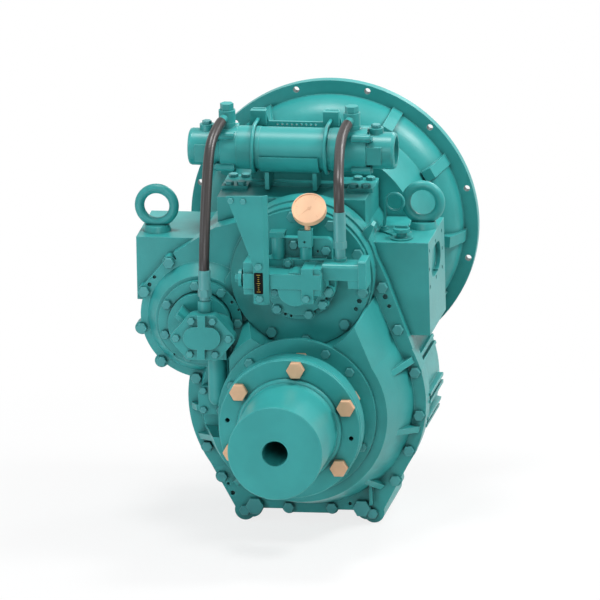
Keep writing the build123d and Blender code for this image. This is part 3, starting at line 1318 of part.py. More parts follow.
def hose(points, name):
    """A round hose along a route, saved under its name."""
    with BuildPart() as piece:
        with BuildLine() as route:
            FilletPolyline(*points, radius=bend_radii(points))
        with BuildSketch(Plane(origin=points[0], z_dir=Vector(*points[1]) - Vector(*points[0]))):
            Circle(HOSE_R)
        sweep(path=route.line)
    save(piece, name)


hose(PUMP_HOSE, "pump_hose")
hose(VALVE_HOSE, "valve_hose")

# Swivel fittings on the cooler, each with a stub pipe to its hose
with BuildPart() as banjo_fittings:
    for banjo, route in ((BANJO_LEFT, PUMP_HOSE), (BANJO_RIGHT, VALVE_HOSE)):
        with BuildSketch(Plane.XY.offset(BANJO_Z)):
            with Locations(banjo):
                Circle(16)
        extrude(amount=288 - BANJO_Z)
        with BuildSketch(Plane.XY.offset(288)):
            with Locations(banjo):
                RegularPolygon(13, 6)
        extrude(amount=13)
        with BuildSketch(Plane(origin=route[0], z_dir=Vector(*route[0]) - Vector(*route[1]))):
            Circle(8)
        extrude(amount=22)
save(banjo_fittings, "banjo_fittings")

with BuildPart() as hose_ferrules:
    for place, foot, nut, top in ((PORT, PORT_Z, PORT_Z + 22, 30), (VALVE_PORT, VALVE_HOSE_FOOT, 96, 154)):
        with BuildSketch(Plane.XY.offset(foot)):
            with Locations(place):
                Circle(10)
        extrude(amount=nut - foot)
        with BuildSketch(Plane.XY.offset(nut)):
            with Locations(place):
                RegularPolygon(13.5, 6)
        extrude(amount=-14)
        with BuildSketch(Plane.XY.offset(nut)):
            with Locations(place):
                Circle(FERRULE_R)
        extrude(amount=top - nut)
save(hose_ferrules, "hose_ferrules")

# Lifting eyes, filler and dipstick on the two blocks
EYES = [(-294.0, -305.0), (208.5, -241.0)]
EYE_Z = 103.0
EYE_R = 33.25
EYE_ROD = 9.25
with BuildPart() as lifting_eyes:
    for x, y in EYES:
        with BuildSketch(Plane.XY.offset(BLOCK_TOP)):
            with Locations((x, y)):
                Circle(27)
        extrude(amount=12, taper=18)
        with Locations(Location((x, y, EYE_Z), (90, 0, 0))):
            Torus(EYE_R, EYE_ROD)
save(lifting_eyes, "lifting_eyes")

FILLER_TOP = 68.0
DIPSTICK_R = 3.0
DIPSTICK_SEAT = 60.0
with BuildPart() as filler_fittings:
    with BuildSketch(Plane.XY.offset(BLOCK_TOP)):
        with Locations(FILLER):
            Circle(21)
        with Locations(DIPSTICK):
            Circle(9)
        with BuildLine():
            Polyline(
                (FILLER[0] - 8, FILLER[1] + 4), (FILLER[0] + 6, FILLER[1] + 6),
                (DIPSTICK[0] + 6, DIPSTICK[1] + 3), (DIPSTICK[0] - 5, DIPSTICK[1] - 4), close=True,
            )
        make_face()
    extrude(amount=3)
    with BuildSketch(Plane.XY.offset(BLOCK_TOP)):
        with Locations(FILLER):
            Circle(10)
    extrude(amount=FILLER_TOP - BLOCK_TOP)
    with BuildSketch(Plane.XY.offset(BLOCK_TOP)):
        with Locations(DIPSTICK):
            Circle(9)
    extrude(amount=DIPSTICK_SEAT - BLOCK_TOP)
    with BuildSketch(Plane.XY.offset(BLOCK_TOP)):
        with Locations(FILLER):
            Circle(FILLER_BORE)
        with Locations(DIPSTICK):
            Circle(DIPSTICK_R + RUNNING)
    extrude(amount=40, mode=Mode.SUBTRACT)
save(filler_fittings, "filler_fittings")

with BuildPart() as filler_cap:
    with BuildSketch(Plane.XY.offset(FILLER_TOP)):
        with Locations(FILLER):
            Circle(16)
    extrude(amount=7)
    with BuildSketch(Plane.XY.offset(FILLER_TOP)):
        with Locations(FILLER):
            Circle(FILLER_BORE - RUNNING)
    extrude(amount=-10)
    with BuildSketch(Plane.XY.offset(FILLER_TOP + 7)):
        with Locations(FILLER):
            SlotOverall(26, 5)
    extrude(amount=5)
save(filler_cap, "filler_cap")

LOOP_R = 17.0
WIRE_R = 2.8
LOOP_Z = 112.0
with BuildPart() as dipstick:
    with BuildSketch(Plane.XY.offset(DIPSTICK_SEAT)):
        with Locations(DIPSTICK):
            Circle(6)
    extrude(amount=4)
    with BuildSketch(Plane.XY.offset(DIPSTICK_SEAT)):
        with Locations(DIPSTICK):
            Circle(DIPSTICK_R)
    extrude(amount=-170)
    with BuildLine() as wire:
        stem = Line((DIPSTICK[0], DIPSTICK[1], DIPSTICK_SEAT), (DIPSTICK[0] + 5, DIPSTICK[1], LOOP_Z - 4))
    with BuildSketch(Plane(origin=stem @ 0, z_dir=stem % 0)):
        Circle(WIRE_R)
    sweep(path=wire.line)
    with Locations(Location((DIPSTICK[0] + 5 + LOOP_R, DIPSTICK[1], LOOP_Z), (90, 0, 0))):
        Torus(LOOP_R, WIRE_R)
save(dipstick, "dipstick")

# Position plate of the selector, folded along its right edge
with BuildPart() as bracket_plate:
    with BuildSketch(behind(PLATE_BACK - PLATE_T)):
        with BuildLine():
            Polyline((-117, 196), (-48, 198), (-48, -17), (-69, -15), (-68, 58), close=True)
        make_face()
    extrude(amount=-PLATE_T)
    with BuildSketch(Plane.XY.offset(-17)):
        with BuildLine():
            Polyline(
                (-48, PLATE_BACK - PLATE_T), (-39, PLATE_BACK + 3), (-39, PLATE_BACK + 6), (-48, PLATE_BACK),
                close=True,
            )
        make_face()
    extrude(amount=215)
    add(bolt_holes(PLATE_BOLTS, behind(PLATE_BACK - PLATE_T), M8, PLATE_T), mode=Mode.SUBTRACT)
    add(bolt_holes(PLATE_SCREWS, behind(PLATE_BACK - PLATE_T), M6, PLATE_T), mode=Mode.SUBTRACT)
save(bracket_plate, "bracket_plate")

# Fasteners, one node for each set
with BuildPart() as bracket_bolts:
    add(bolts(PLATE_BOLTS, behind(PLATE_BACK - PLATE_T), M8, PLATE_T + 15))
    add(bolts(PLATE_SCREWS, behind(PLATE_BACK - PLATE_T), M6, PLATE_T))
    add(bolts(mirrored(PLATE_SCREWS), ahead(PLATE_BACK), M6, PLATE_T))
save(bracket_bolts, "bracket_bolts")

with BuildPart() as case_bolts:
    add(bolts(CASE_BOLTS + FOOT_BOLTS, behind(REAR_FLANGE), M12, 45))
    add(bolts(FOOT_STUDS, behind(REAR_FLANGE), M12_STUD, 45))
    add(bolts(mirrored(BELL_BOLTS), ahead(BELL_BACK + WALL), M12, WALL + 20))
save(case_bolts, "case_bolts")

with BuildPart() as cover_bolts:
    add(bolts(MIDDLE_BOLTS, behind(COVER_FACE), M12, 27))
    add(bolts(RING_BOLTS, behind(RING_FACE), M10, 24))
    add(bolts(OUTPUT_BOLTS, behind(OUTPUT_COVER_FACE), M10, 30))
    add(bolts(mirrored(INPUT_COVER_BOLTS), ahead(INPUT_COVER_FACE), M8, 26))
save(cover_bolts, "cover_bolts")

with BuildPart() as pump_bolts:
    add(bolts(PUMP_BOLTS, behind(PUMP_FACE), M8, 29))
    add(bolts(SUCTION_BOLTS, behind(SUCTION_SEAT - 22), M8, 30))
save(pump_bolts, "pump_bolts")

with BuildPart() as valve_bolts:
    add(bolts(VALVE_BOLTS, behind(VALVE_FLANGE), M10, 26))
save(valve_bolts, "valve_bolts")

with BuildPart() as plugs:
    add(bolts(FRONT_PLUGS, behind(VALVE_FRONT), M8, 12))
    add(bolts(STEP_PLUGS, behind(VALVE_STEP - 6), M8, 12))
    add(bolts(SIDE_PLUGS, behind(VALVE_STEP), M8, 12))
    add(bolts(PORT_PLUGS, behind(PORT_FACE), M10, 10))
    add(bolts(DRAIN, below(DRAIN_Z), M12_STUD, 10))
    add(bolts([PLUG_LEFT, PLUG_RIGHT], Plane.XY.offset(PLUG_Z), M10, 4))
save(plugs, "plugs")

with BuildPart() as cooler_bolts:
    add(bolts(CAP_BOLTS, across(COLLAR_RIGHT + 9), M6, 4))
    add(bolts(mirrored(CAP_BOLTS), across(COLLAR_LEFT - 9, -1), M6, 4))
    add(bolts(FOOT_POINTS, Plane.XY.offset(TOWER_TOP + 7), M10, 17))
save(cooler_bolts, "cooler_bolts")
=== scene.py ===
# %% [markdown]
# A marine reversing gearbox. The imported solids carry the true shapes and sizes, so this lesson
# gives them their finishes: sprayed enamel over sand castings, turned steel, sheet and bolts.
# Hoses, the gauge's scale and the position plate's strip are made here as pieces of their own.

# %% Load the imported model
import math

import bmesh
import bpy
from mathutils import Matrix, Vector


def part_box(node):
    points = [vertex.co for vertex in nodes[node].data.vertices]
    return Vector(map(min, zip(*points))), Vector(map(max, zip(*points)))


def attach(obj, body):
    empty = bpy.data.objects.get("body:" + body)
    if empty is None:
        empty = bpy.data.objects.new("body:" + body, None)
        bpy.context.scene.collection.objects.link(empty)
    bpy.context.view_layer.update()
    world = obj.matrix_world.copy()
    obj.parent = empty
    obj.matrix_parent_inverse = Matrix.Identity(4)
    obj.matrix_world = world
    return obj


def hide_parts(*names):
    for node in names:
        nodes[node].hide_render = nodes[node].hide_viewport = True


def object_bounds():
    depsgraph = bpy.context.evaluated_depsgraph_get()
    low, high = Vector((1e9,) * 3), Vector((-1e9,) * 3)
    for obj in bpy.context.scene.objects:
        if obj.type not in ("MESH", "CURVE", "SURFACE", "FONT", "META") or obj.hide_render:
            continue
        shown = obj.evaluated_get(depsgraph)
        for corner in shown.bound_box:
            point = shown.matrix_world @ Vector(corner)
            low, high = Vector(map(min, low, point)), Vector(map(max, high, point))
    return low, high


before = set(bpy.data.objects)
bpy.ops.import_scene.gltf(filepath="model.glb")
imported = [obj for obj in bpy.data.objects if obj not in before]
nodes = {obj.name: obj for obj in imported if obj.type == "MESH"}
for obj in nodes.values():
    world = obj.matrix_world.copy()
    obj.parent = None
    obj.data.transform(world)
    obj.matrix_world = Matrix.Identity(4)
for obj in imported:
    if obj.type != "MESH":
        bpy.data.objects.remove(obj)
cad_box = [list(corner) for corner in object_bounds()]
print("nodes:", len(nodes), "lowest and highest corner:", cad_box)

# %% [markdown]
# Colours are written as sRGB hex, the way a paint chart gives them. Cycles works in linear light,
# so one function turns each of them. A second function adds a node with its settings and links:
# a socket given as input is linked, and anything else is set as the input's own value.

# %% Colours and nodes
MM = 0.001
WHITE = "#ffffff"


def linear(hex_colour):
    """Turns an sRGB hex colour to the linear values that a shader takes."""
    parts = [int(hex_colour[k : k + 2], 16) / 255 for k in (1, 3, 5)]
    return [p / 12.92 if p <= 0.04045 else ((p + 0.055) / 1.055) ** 2.4 for p in parts] + [1.0]


def add(tree, kind, inputs=None, **settings):
    """Adds a node: settings are its own properties, inputs go to its sockets by name or place."""
    made = tree.nodes.new(kind)
    for name, value in settings.items():
        setattr(made, name, value)
    for key, value in (inputs or {}).items():
        if isinstance(value, bpy.types.NodeSocket):
            tree.links.new(value, made.inputs[key])
        else:
            made.inputs[key].default_value = value
    return made


def empty_material(name):
    """A new material with no nodes yet, and its node tree."""
    made = bpy.data.materials.new(name)
    made.use_nodes = True
    made.node_tree.nodes.clear()
    return made, made.node_tree


print("white in linear light:", linear(WHITE))

# %% [markdown]
# Camera, lamps, hoses and meshes all enter the scene the same way: an object is made round its
# data and linked. Some of them are set by three axes and a place, which one matrix holds.

# %% Objects and their places


def put_in_scene(name, data):
    """A new object round a mesh, curve, lamp or camera."""
    thing = bpy.data.objects.new(name, data)
    bpy.context.scene.collection.objects.link(thing)
    return thing


def standing(x_axis, y_axis, z_axis, place):
    """The matrix of something that has the given axes at the given place."""
    axes = Matrix((x_axis, y_axis, z_axis)).transposed()
    return Matrix.Translation(place) @ axes.to_4x4()


# %% [markdown]
# The photograph has parallel lines that stay parallel, so it is seen through a camera without
# perspective. The twelve holes of the engine flange gave the direction: 9.5 degrees to the right
# of straight behind, 15.7 degrees up, turned 1.3 degrees about the line of sight.

# %% Camera
AZIMUTH, ELEVATION, ROLL = (math.radians(a) for a in (9.52, 15.686, 1.281))
VIEW_WIDTH = 1.1409
VIEW_MIDDLE_RIGHT, VIEW_MIDDLE_UP = -0.06876, -0.15687
STAND_OFF = 3.0
FAR_CLIP = 20
right = Vector((math.cos(AZIMUTH), math.sin(AZIMUTH), 0))
back = Vector((
    math.sin(AZIMUTH) * math.cos(ELEVATION),
    -math.cos(AZIMUTH) * math.cos(ELEVATION),
    math.sin(ELEVATION),
))
up = back.cross(right)
camera_right = right * math.cos(ROLL) - up * math.sin(ROLL)
camera_up = right * math.sin(ROLL) + up * math.cos(ROLL)
camera_data = bpy.data.cameras.new("camera")
camera_data.type = "ORTHO"
camera_data.ortho_scale = VIEW_WIDTH
camera_data.clip_end = FAR_CLIP
camera = put_in_scene("camera", camera_data)
place = camera_right * VIEW_MIDDLE_RIGHT + camera_up * VIEW_MIDDLE_UP + back * STAND_OFF
camera.matrix_world = standing(camera_right, camera_up, back, place)
bpy.context.scene.camera = camera
bpy.context.scene.view_settings.view_transform = "Standard"
print("camera at", [round(c, 3) for c in place])

# %% [markdown]
# A catalogue picture has a white background, and a bright world would wash out the paint. So the
# world is white only where it is looked at or mirrored, and lights the gearbox very little.

# %% World
DOME, DOME_STRENGTH = "#dfe8ea", 0.03


def looked_at(tree):
    """1 where the camera, a mirror or glass looks, and 0 where light is gathered."""
    path = add(tree, "ShaderNodeLightPath").outputs
    direct = add(tree, "ShaderNodeMath", {
        0: path["Is Camera Ray"], 1: path["Is Glossy Ray"],
    }, operation="MAXIMUM")
    either = add(tree, "ShaderNodeMath", {
        0: direct.outputs[0], 1: path["Is Transmission Ray"],
    }, operation="MAXIMUM")
    return either.outputs[0]


world = bpy.data.worlds.new("studio")
bpy.context.scene.world = world
world.use_nodes = True
sky = world.node_tree
sky.nodes.clear()
dome = add(sky, "ShaderNodeBackground", {"Color": linear(DOME), "Strength": DOME_STRENGTH})
white = add(sky, "ShaderNodeBackground", {"Color": linear(WHITE), "Strength": 1.0})
both = add(sky, "ShaderNodeMixShader", {
    0: looked_at(sky), 1: dome.outputs[0], 2: white.outputs[0],
})
add(sky, "ShaderNodeOutputWorld", {0: both.outputs[0]})
print("world nodes:", len(sky.nodes))

# %% [markdown]
# The gearbox stands on a sweep of white paper. Near the feet the paper keeps a share of its
# shadow; farther out it fades to plain white, so the picture has no horizon.

# %% Floor
FLOOR_SIZE = 8.0
FLOOR_MIDDLE_Y = -0.35
FLOOR_GAP = 0.2 * MM
FADE_START, FADE_END = 0.3, 1.1
WHITE_SHARE_NEAR = 0.8
floor_mesh = bpy.data.meshes.new("floor")
shape = bmesh.new()
bmesh.ops.create_grid(shape, x_segments=1, y_segments=1, size=FLOOR_SIZE / 2)
shape.to_mesh(floor_mesh)
shape.free()
floor = put_in_scene("floor", floor_mesh)
floor.location = (0, FLOOR_MIDDLE_Y, cad_box[0][2] - FLOOR_GAP)

paper, tree = empty_material("white paper sweep")
lit = add(tree, "ShaderNodeBsdfDiffuse", {"Color": linear("#f4f4f4")})
bright = add(tree, "ShaderNodeEmission", {"Color": linear(WHITE), "Strength": 1.0})
where = add(tree, "ShaderNodeTexCoord").outputs["Object"]
far = add(tree, "ShaderNodeVectorMath", {0: where}, operation="LENGTH")
fade = add(tree, "ShaderNodeMapRange", {
    "Value": far.outputs["Value"],
    "From Min": FADE_START, "From Max": FADE_END,
    "To Min": WHITE_SHARE_NEAR, "To Max": 1.0,
})
share = add(tree, "ShaderNodeMath", {0: looked_at(tree), 1: fade.outputs[0]}, operation="MULTIPLY")
top = add(tree, "ShaderNodeMixShader", {
    0: share.outputs[0], 1: lit.outputs[0], 2: bright.outputs[0],
})
add(tree, "ShaderNodeOutputMaterial", {0: top.outputs[0]})
floor_mesh.materials.append(paper)
print("floor at", round(floor.location.z, 4))

# %% [markdown]
# Large soft disks light the castings. One stands overhead and draws the band along the cooler;
# one high on the right gives the bright band on the bell's shoulder. Three weaker ones in front,
# two of them on the left, keep the castings readable, and one behind lights the upper rims.

# %% Lamps
LAMP_AIM = Vector((-0.03, -0.35, -0.1))
# Each lamp's name, place, width, watts and colour.
LAMPS = [
    ("top_lamp", (-0.3, -0.35, 2.4), 0.7, 35.0, WHITE),
    ("shoulder_lamp", (2.0, -0.05, 2.1), 0.75, 60.0, WHITE),
    ("front_lamp", (0.2, -2.0, 0.8), 0.8, 9.0, "#f8fdff"),
    ("left_lamp", (-2.0, -1.4, 1.2), 0.9, 9.0, "#eef8ff"),
    ("low_lamp", (-1.0, -1.7, -0.3), 0.7, 7.0, "#eef8ff"),
    ("back_lamp", (0.9, 1.9, 1.6), 0.5, 24.0, WHITE),
]
for name, spot, width, watts, tint in LAMPS:
    lamp_data = bpy.data.lights.new(name, "AREA")
    lamp_data.shape = "DISK"
    lamp_data.size = width
    lamp_data.energy = watts
    lamp_data.color = linear(tint)[:3]
    lamp = put_in_scene(name, lamp_data)
    lamp.location = spot
    lamp.rotation_mode = "QUATERNION"
    lamp.rotation_quaternion = (LAMP_AIM - Vector(spot)).to_track_quat("-Z", "Y")
print("lamps:", [row[0] for row in LAMPS])

# %% [markdown]
# The hoses carry oil from the pump up to the cooler and back to the valve. Each is a wire-braided
# rubber hose with a wrapped cover, held at both ends. A real one is a smooth bend between its
# fittings, so it is one NURBS curve along the route's points, with a round section. A curve's box
# counts each point's radius, which is 1 m unless it is set. So the points carry the hose's own
# radius, and the bevel's depth, which multiplies it, is 1.

# %% Hoses
HOSE_R = 10 * MM
BEVEL_DEPTH = 1.0
ROUND_STEPS, LENGTH_STEPS = 8, 24
PUMP_ROUTE = [
    (-166, -306, 271), (-177, -352, 258), (-179, -400, 208), (-174.5, -490, 62), (-174.5, -490, 30),
]
VALVE_ROUTE = [(77, -306, 272), (70, -345, 261), (84, -463, 224), (90, -500, 190), (90, -500, 154)]


def oil_hose(name, route, node):
    """A rubber hose as one smooth curve along its route, in place of its plain solid."""
    curve = bpy.data.curves.new(name, "CURVE")
    curve.dimensions = "3D"
    curve.bevel_depth = BEVEL_DEPTH
    curve.bevel_resolution = ROUND_STEPS
    curve.resolution_u = LENGTH_STEPS
    curve.use_fill_caps = True
    spline = curve.splines.new("NURBS")
    spline.points.add(len(route) - 1)
    for point, corner in zip(spline.points, route):
        point.co = (*(c * MM for c in corner), 1)
        point.radius = HOSE_R
    spline.order_u = 3
    spline.use_endpoint_u = True
    hose = put_in_scene(name, curve)
    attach(hose, "housing")
    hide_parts(node)
    return hose


pump_hose = oil_hose("pump_to_cooler_hose", PUMP_ROUTE, "pump_hose")
valve_hose = oil_hose("cooler_to_valve_hose", VALVE_ROUTE, "valve_hose")

# %% [markdown]
# Printed marks are thin raised shapes: an outline in one plane, drawn up to a small height. They
# could be colours in a material, but a raised shape stays sharp at any distance. Their sizes are
# in millimetres, and turn to metres where their corners are made.

# %% Raised marks
PRINT_T = 0.15


def prism(shape, outline, low, high, place):
    """A flat raised shape: its outline between two heights, set in place."""
    lower = [shape.verts.new(place @ (Vector((x, y, low)) * MM)) for x, y in outline]
    upper = [shape.verts.new(place @ (Vector((x, y, high)) * MM)) for x, y in outline]
    shape.faces.new(upper)
    shape.faces.new(list(reversed(lower)))
    for k in range(len(outline)):
        n = (k + 1) % len(outline)
        shape.faces.new((lower[k], lower[n], upper[n], upper[k]))


def fixed_piece(name, shape):
    """Turns bmesh work into a piece that stays on the housing."""
    mesh = bpy.data.meshes.new(name)
    shape.to_mesh(mesh)
    shape.free()
    piece = put_in_scene(name, mesh)
    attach(piece, "housing")
    return piece


print("print is", PRINT_T, "mm thick")

# %% [markdown]
# The pressure gauge has a round face under its rim. Its scale is generic: even strokes, each
# fifth one longer, from the lower left over the top to the lower right. A matrix that lies in the
# tilted face turns about its middle for each stroke.

# %% Gauge scale
GAUGE_TILT = math.radians(46)
GAUGE_MIDDLE = Vector((29.5, -488, 156.6))
FACE_DEPTH = 1.5
SCALE_R = 26.5
STROKES, EACH_LONG = 26, 5
FIRST_ANGLE, SWEEP = 225, 270
LONG_STROKE, LONG_HALF = 5.0, 0.5
SHORT_STROKE, SHORT_HALF = 3.0, 0.25
face_out = Vector((0, -math.cos(GAUGE_TILT), math.sin(GAUGE_TILT)))
face_right = Vector((1, 0, 0))
face_up = face_out.cross(face_right)
face_middle = (GAUGE_MIDDLE - face_out * FACE_DEPTH) * MM
on_face = standing(face_right, face_up, face_out, face_middle)
scale = bmesh.new()
for k in range(STROKES):
    long_one = k % EACH_LONG == 0
    half = LONG_HALF if long_one else SHORT_HALF
    inner = SCALE_R - (LONG_STROKE if long_one else SHORT_STROKE)
    turn = Matrix.Rotation(math.radians(FIRST_ANGLE - SWEEP * k / (STROKES - 1)), 4, "Z")
    stroke = [(inner, -half), (SCALE_R, -half), (SCALE_R, half), (inner, half)]
    prism(scale, stroke, 0, PRINT_T, on_face @ turn)
gauge_scale = fixed_piece("gauge_scale", scale)
print("gauge strokes:", STROKES)

# %% [markdown]
# The pointer rests at the scale's first stroke. It is a slim tapered blade with a short tail, on
# a round hub that stands a little higher.

# %% Gauge pointer
POINTER = [(-6, -1.6), (2, -1.5), (20, -0.35), (20, 0.35), (2, 1.5), (-6, 1.6)]
POINTER_T = 0.3
HUB_R, HUB_T, HUB_SIDES = 3.2, 0.7, 20
corners = [math.tau * k / HUB_SIDES for k in range(HUB_SIDES)]
hub = [(HUB_R * math.cos(a), HUB_R * math.sin(a)) for a in corners]
needle = bmesh.new()
at_rest = on_face @ Matrix.Rotation(math.radians(FIRST_ANGLE), 4, "Z")
prism(needle, POINTER, 0, POINTER_T, at_rest)
prism(needle, hub, 0, HUB_T, on_face)
gauge_pointer = fixed_piece("gauge_pointer", needle)
print("pointer corners:", len(POINTER))

# %% [markdown]
# The upright plate beside the valve shows which way the gearbox is set. Its black strip carries
# plain strokes only: a long one at each end and at neutral, short ones between.

# %% Position strip
STRIP_X, STRIP_Z = (-67.0, -50.0), (4.5, 46.5)
STRIP_T, STRIP_CORNER = 0.8, 2.0
CORNER_STEPS = 4
plate_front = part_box("bracket_plate")[0].y
on_plate = Matrix.Translation((0, plate_front, 0)) @ Matrix.Rotation(math.radians(90), 4, "X")


def rounded(x, z, corner):
    """The points of a rectangle with rounded corners, from its lowest and highest x and z."""
    outline = []
    for cx, cz, start in ((x[1], z[1], 0), (x[0], z[1], 90), (x[0], z[0], 180), (x[1], z[0], 270)):
        middle_x = cx - math.copysign(corner, cx - sum(x) / 2)
        middle_z = cz - math.copysign(corner, cz - sum(z) / 2)
        for step in range(CORNER_STEPS + 1):
            a = math.radians(start + step * 90 / CORNER_STEPS)
            outline.append((middle_x + corner * math.cos(a), middle_z + corner * math.sin(a)))
    return outline


strip = bmesh.new()
prism(strip, rounded(STRIP_X, STRIP_Z, STRIP_CORNER), 0, STRIP_T, on_plate)
position_strip = fixed_piece("position_strip", strip)
print("strip height:", STRIP_Z[1] - STRIP_Z[0], "mm")

# %% [markdown]
# The strokes stand on the strip at even steps, all on its middle line.

# %% Strokes of the strip
TICKS, EACH_LONG_TICK = 9, 4
LONG_TICK, SHORT_TICK = 3.6, 1.6
TICK_HALF, TICK_CORNER = 0.5, 0.3
END_GAP = 4.5
middle = sum(STRIP_X) / 2
spacing = (STRIP_Z[1] - STRIP_Z[0] - 2 * END_GAP) / (TICKS - 1)
ticks = bmesh.new()
for k in range(TICKS):
    half = LONG_TICK if k % EACH_LONG_TICK == 0 else SHORT_TICK
    z = STRIP_Z[0] + END_GAP + k * spacing
    tick = rounded((middle - half, middle + half), (z - TICK_HALF, z + TICK_HALF), TICK_CORNER)
    prism(ticks, tick, STRIP_T, STRIP_T + PRINT_T, on_plate)
strip_strokes = fixed_piece("position_strip_strokes", ticks)
print("strokes of the strip:", TICKS)

# %% [markdown]
# Enamel is a hard glossy paint, sprayed over primer on every outer part. It is a dielectric film,
# so it isn't metallic, its IOR is about 1.5, and its gloss comes from its roughness. On a sand
# casting the sand's grain shows through it; on sheet and turned steel it lies smooth. Sharp edges
# are lighter: paint pulls thin there, and the lighter colour is also a painted highlight. The angle
# between the true surface and a rounded copy of it finds them. Corners and holes are darker with
# painted shade, where ambient occlusion finds them.

# %% Enamel over iron
TEAL = "#349f9d"
TEAL_DEEP = "#2f9795"
# Sharp edges are lightened towards this colour: partly paint pulled thin, partly a painted
# highlight.
TEAL_EDGE_THIN_PAINT_AND_HIGHLIGHT = "#79d6d3"
# Painted shade: corners and holes are darkened towards this colour.
TEAL_PAINTED_SHADE = "#0a3a3c"
SPRAY_PATCH, MOULD_SWELL, PAINTED_SHADE_REACH = 70, 18, 20
EDGE_SHARE, PAINTED_SHADE_SHARE = 0.7, 0.85
GLOSS_SPREAD = 0.06
ENAMEL_IOR, ENAMEL_SPECULAR = 1.5, 0.4
# A Mix node of colours has them at inputs 6 and 7, and its result at output 2.
FIRST, SECOND, MIXED = 6, 7, 2


def enamel(
    name, grain_mm, depth_mm, roughness, edge_mm=1.4, colours=(TEAL, TEAL_DEEP, TEAL_EDGE_THIN_PAINT_AND_HIGHLIGHT),
):
    """Enamel in a main, a deeper and an edge colour, over a surface of the given grain. Its edges
    are lighter with thin paint and a painted highlight, its corners darker with painted shade.
    """
    made, tree = empty_material(name)
    main, deep, thin_paint_and_highlight = (linear(colour) for colour in colours)
    where = add(tree, "ShaderNodeTexCoord").outputs["Object"]
    spray = add(tree, "ShaderNodeTexNoise", {
        "Vector": where, "Scale": 1 / (SPRAY_PATCH * MM), "Detail": 3.0,
    })
    drift = add(tree, "ShaderNodeMapRange", {
        "Value": spray.outputs["Fac"], "From Min": 0.35, "From Max": 0.65,
    })
    film = add(tree, "ShaderNodeMix", {
        0: drift.outputs[0], FIRST: main, SECOND: deep,
    }, data_type="RGBA")
    # Painted shade: where ambient occlusion finds corners and holes, the colour is darkened towards
    # a deep teal.
    open_air = add(tree, "ShaderNodeAmbientOcclusion", {"Distance": PAINTED_SHADE_REACH * MM}, samples=6)
    corner = add(tree, "ShaderNodeMapRange", {
        "Value": open_air.outputs["AO"], "From Min": 0.78, "From Max": 0.25, "To Max": PAINTED_SHADE_SHARE,
    })
    film = add(tree, "ShaderNodeMix", {
        0: corner.outputs[0], FIRST: film.outputs[MIXED], SECOND: linear(TEAL_PAINTED_SHADE),
    }, data_type="RGBA")
    # Painted highlight, with paint pulled thin: sharp edges, found by a rounded copy of the normal,
    # are lightened.
    true = add(tree, "ShaderNodeNewGeometry").outputs["True Normal"]
    round_edge = add(tree, "ShaderNodeBevel", {"Radius": edge_mm * MM}, samples=4).outputs[0]
    same = add(tree, "ShaderNodeVectorMath", {0: true, 1: round_edge}, operation="DOT_PRODUCT")
    edge = add(tree, "ShaderNodeMapRange", {
        "Value": same.outputs["Value"], "From Min": 0.995, "From Max": 0.8, "To Max": EDGE_SHARE,
    })
    film = add(tree, "ShaderNodeMix", {
        0: edge.outputs[0], FIRST: film.outputs[MIXED], SECOND: thin_paint_and_highlight,
    }, data_type="RGBA")
    sand = add(tree, "ShaderNodeTexNoise", {
        "Vector": where, "Scale": 1 / (grain_mm * MM), "Detail": 4.0, "Roughness": 0.6,
    })
    swell = add(tree, "ShaderNodeTexNoise", {
        "Vector": where, "Scale": 1 / (MOULD_SWELL * MM), "Detail": 2.0,
    })
    height = add(tree, "ShaderNodeMath", {
        0: swell.outputs["Fac"], 1: 2.0, 2: sand.outputs["Fac"],
    }, operation="MULTIPLY_ADD")
    bump = add(tree, "ShaderNodeBump", {
        "Strength": 0.5, "Distance": depth_mm * MM,
        "Height": height.outputs[0], "Normal": round_edge,
    })
    gloss = add(tree, "ShaderNodeMapRange", {
        "Value": sand.outputs["Fac"],
        "To Min": roughness - GLOSS_SPREAD, "To Max": roughness + GLOSS_SPREAD,
    })
    surface = add(tree, "ShaderNodeBsdfPrincipled", {
        "Base Color": film.outputs[MIXED], "Roughness": gloss.outputs[0],
        "Normal": bump.outputs[0], "IOR": ENAMEL_IOR, "Specular IOR Level": ENAMEL_SPECULAR,
    })
    add(tree, "ShaderNodeOutputMaterial", {0: surface.outputs[0]})
    return made


# The sand's grains are about 0.4 mm, too fine to show here, so they are drawn 3 mm wide. On
# smooth parts the grain is the film's own orange peel. Bolts and sleeves take less paint.
enamel_on_casting = enamel("teal enamel on sand-cast iron", 3.0, 0.35, 0.38)
enamel_on_alloy = enamel("teal enamel on gravity-cast aluminium", 2.2, 0.2, 0.36)
enamel_on_turned = enamel("teal enamel on turned steel", 1.6, 0.06, 0.42, edge_mm=1.0)
enamel_on_sheet = enamel("teal enamel on pressed sheet steel", 6.0, 0.08, 0.38, edge_mm=0.6)
# The third colour of each is its edges' lighter tone, partly thin paint and partly a painted
# highlight.
enamel_on_bolts = enamel(
    "teal enamel on steel fasteners", 1.6, 0.05, 0.36, 0.7, ("#4ca3a2", "#44999a", "#7fcac8"),
)
enamel_on_sleeves = enamel(
    "teal enamel on crimped steel sleeves", 1.6, 0.05, 0.32, 0.7, ("#57a3a3", "#4f9c9c", "#8fd0ce"),
)
print("materials so far:", len(bpy.data.materials))

# %% [markdown]
# Bare metals reflect with their own colour, so they are fully metallic and keep the default IOR.
# What tells them apart is the tool's trace: turned shafts have a fine grain, ground teeth a close
# one. The chromate film on zinc hides most of the metal's mirror, so it is only a third metallic,
# and lacquer hides it all. The gearbox is sprayed when it is whole, so the output shaft's flange
# is teal as far in as the bearing cover.

# %% Bare, plated and lacquered metals
METAL_BLOOM, METAL_EDGE = 12, 0.7
METAL_GLOSS_SPREAD = 0.08
cover_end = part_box("output_bearing_cover")[0].y


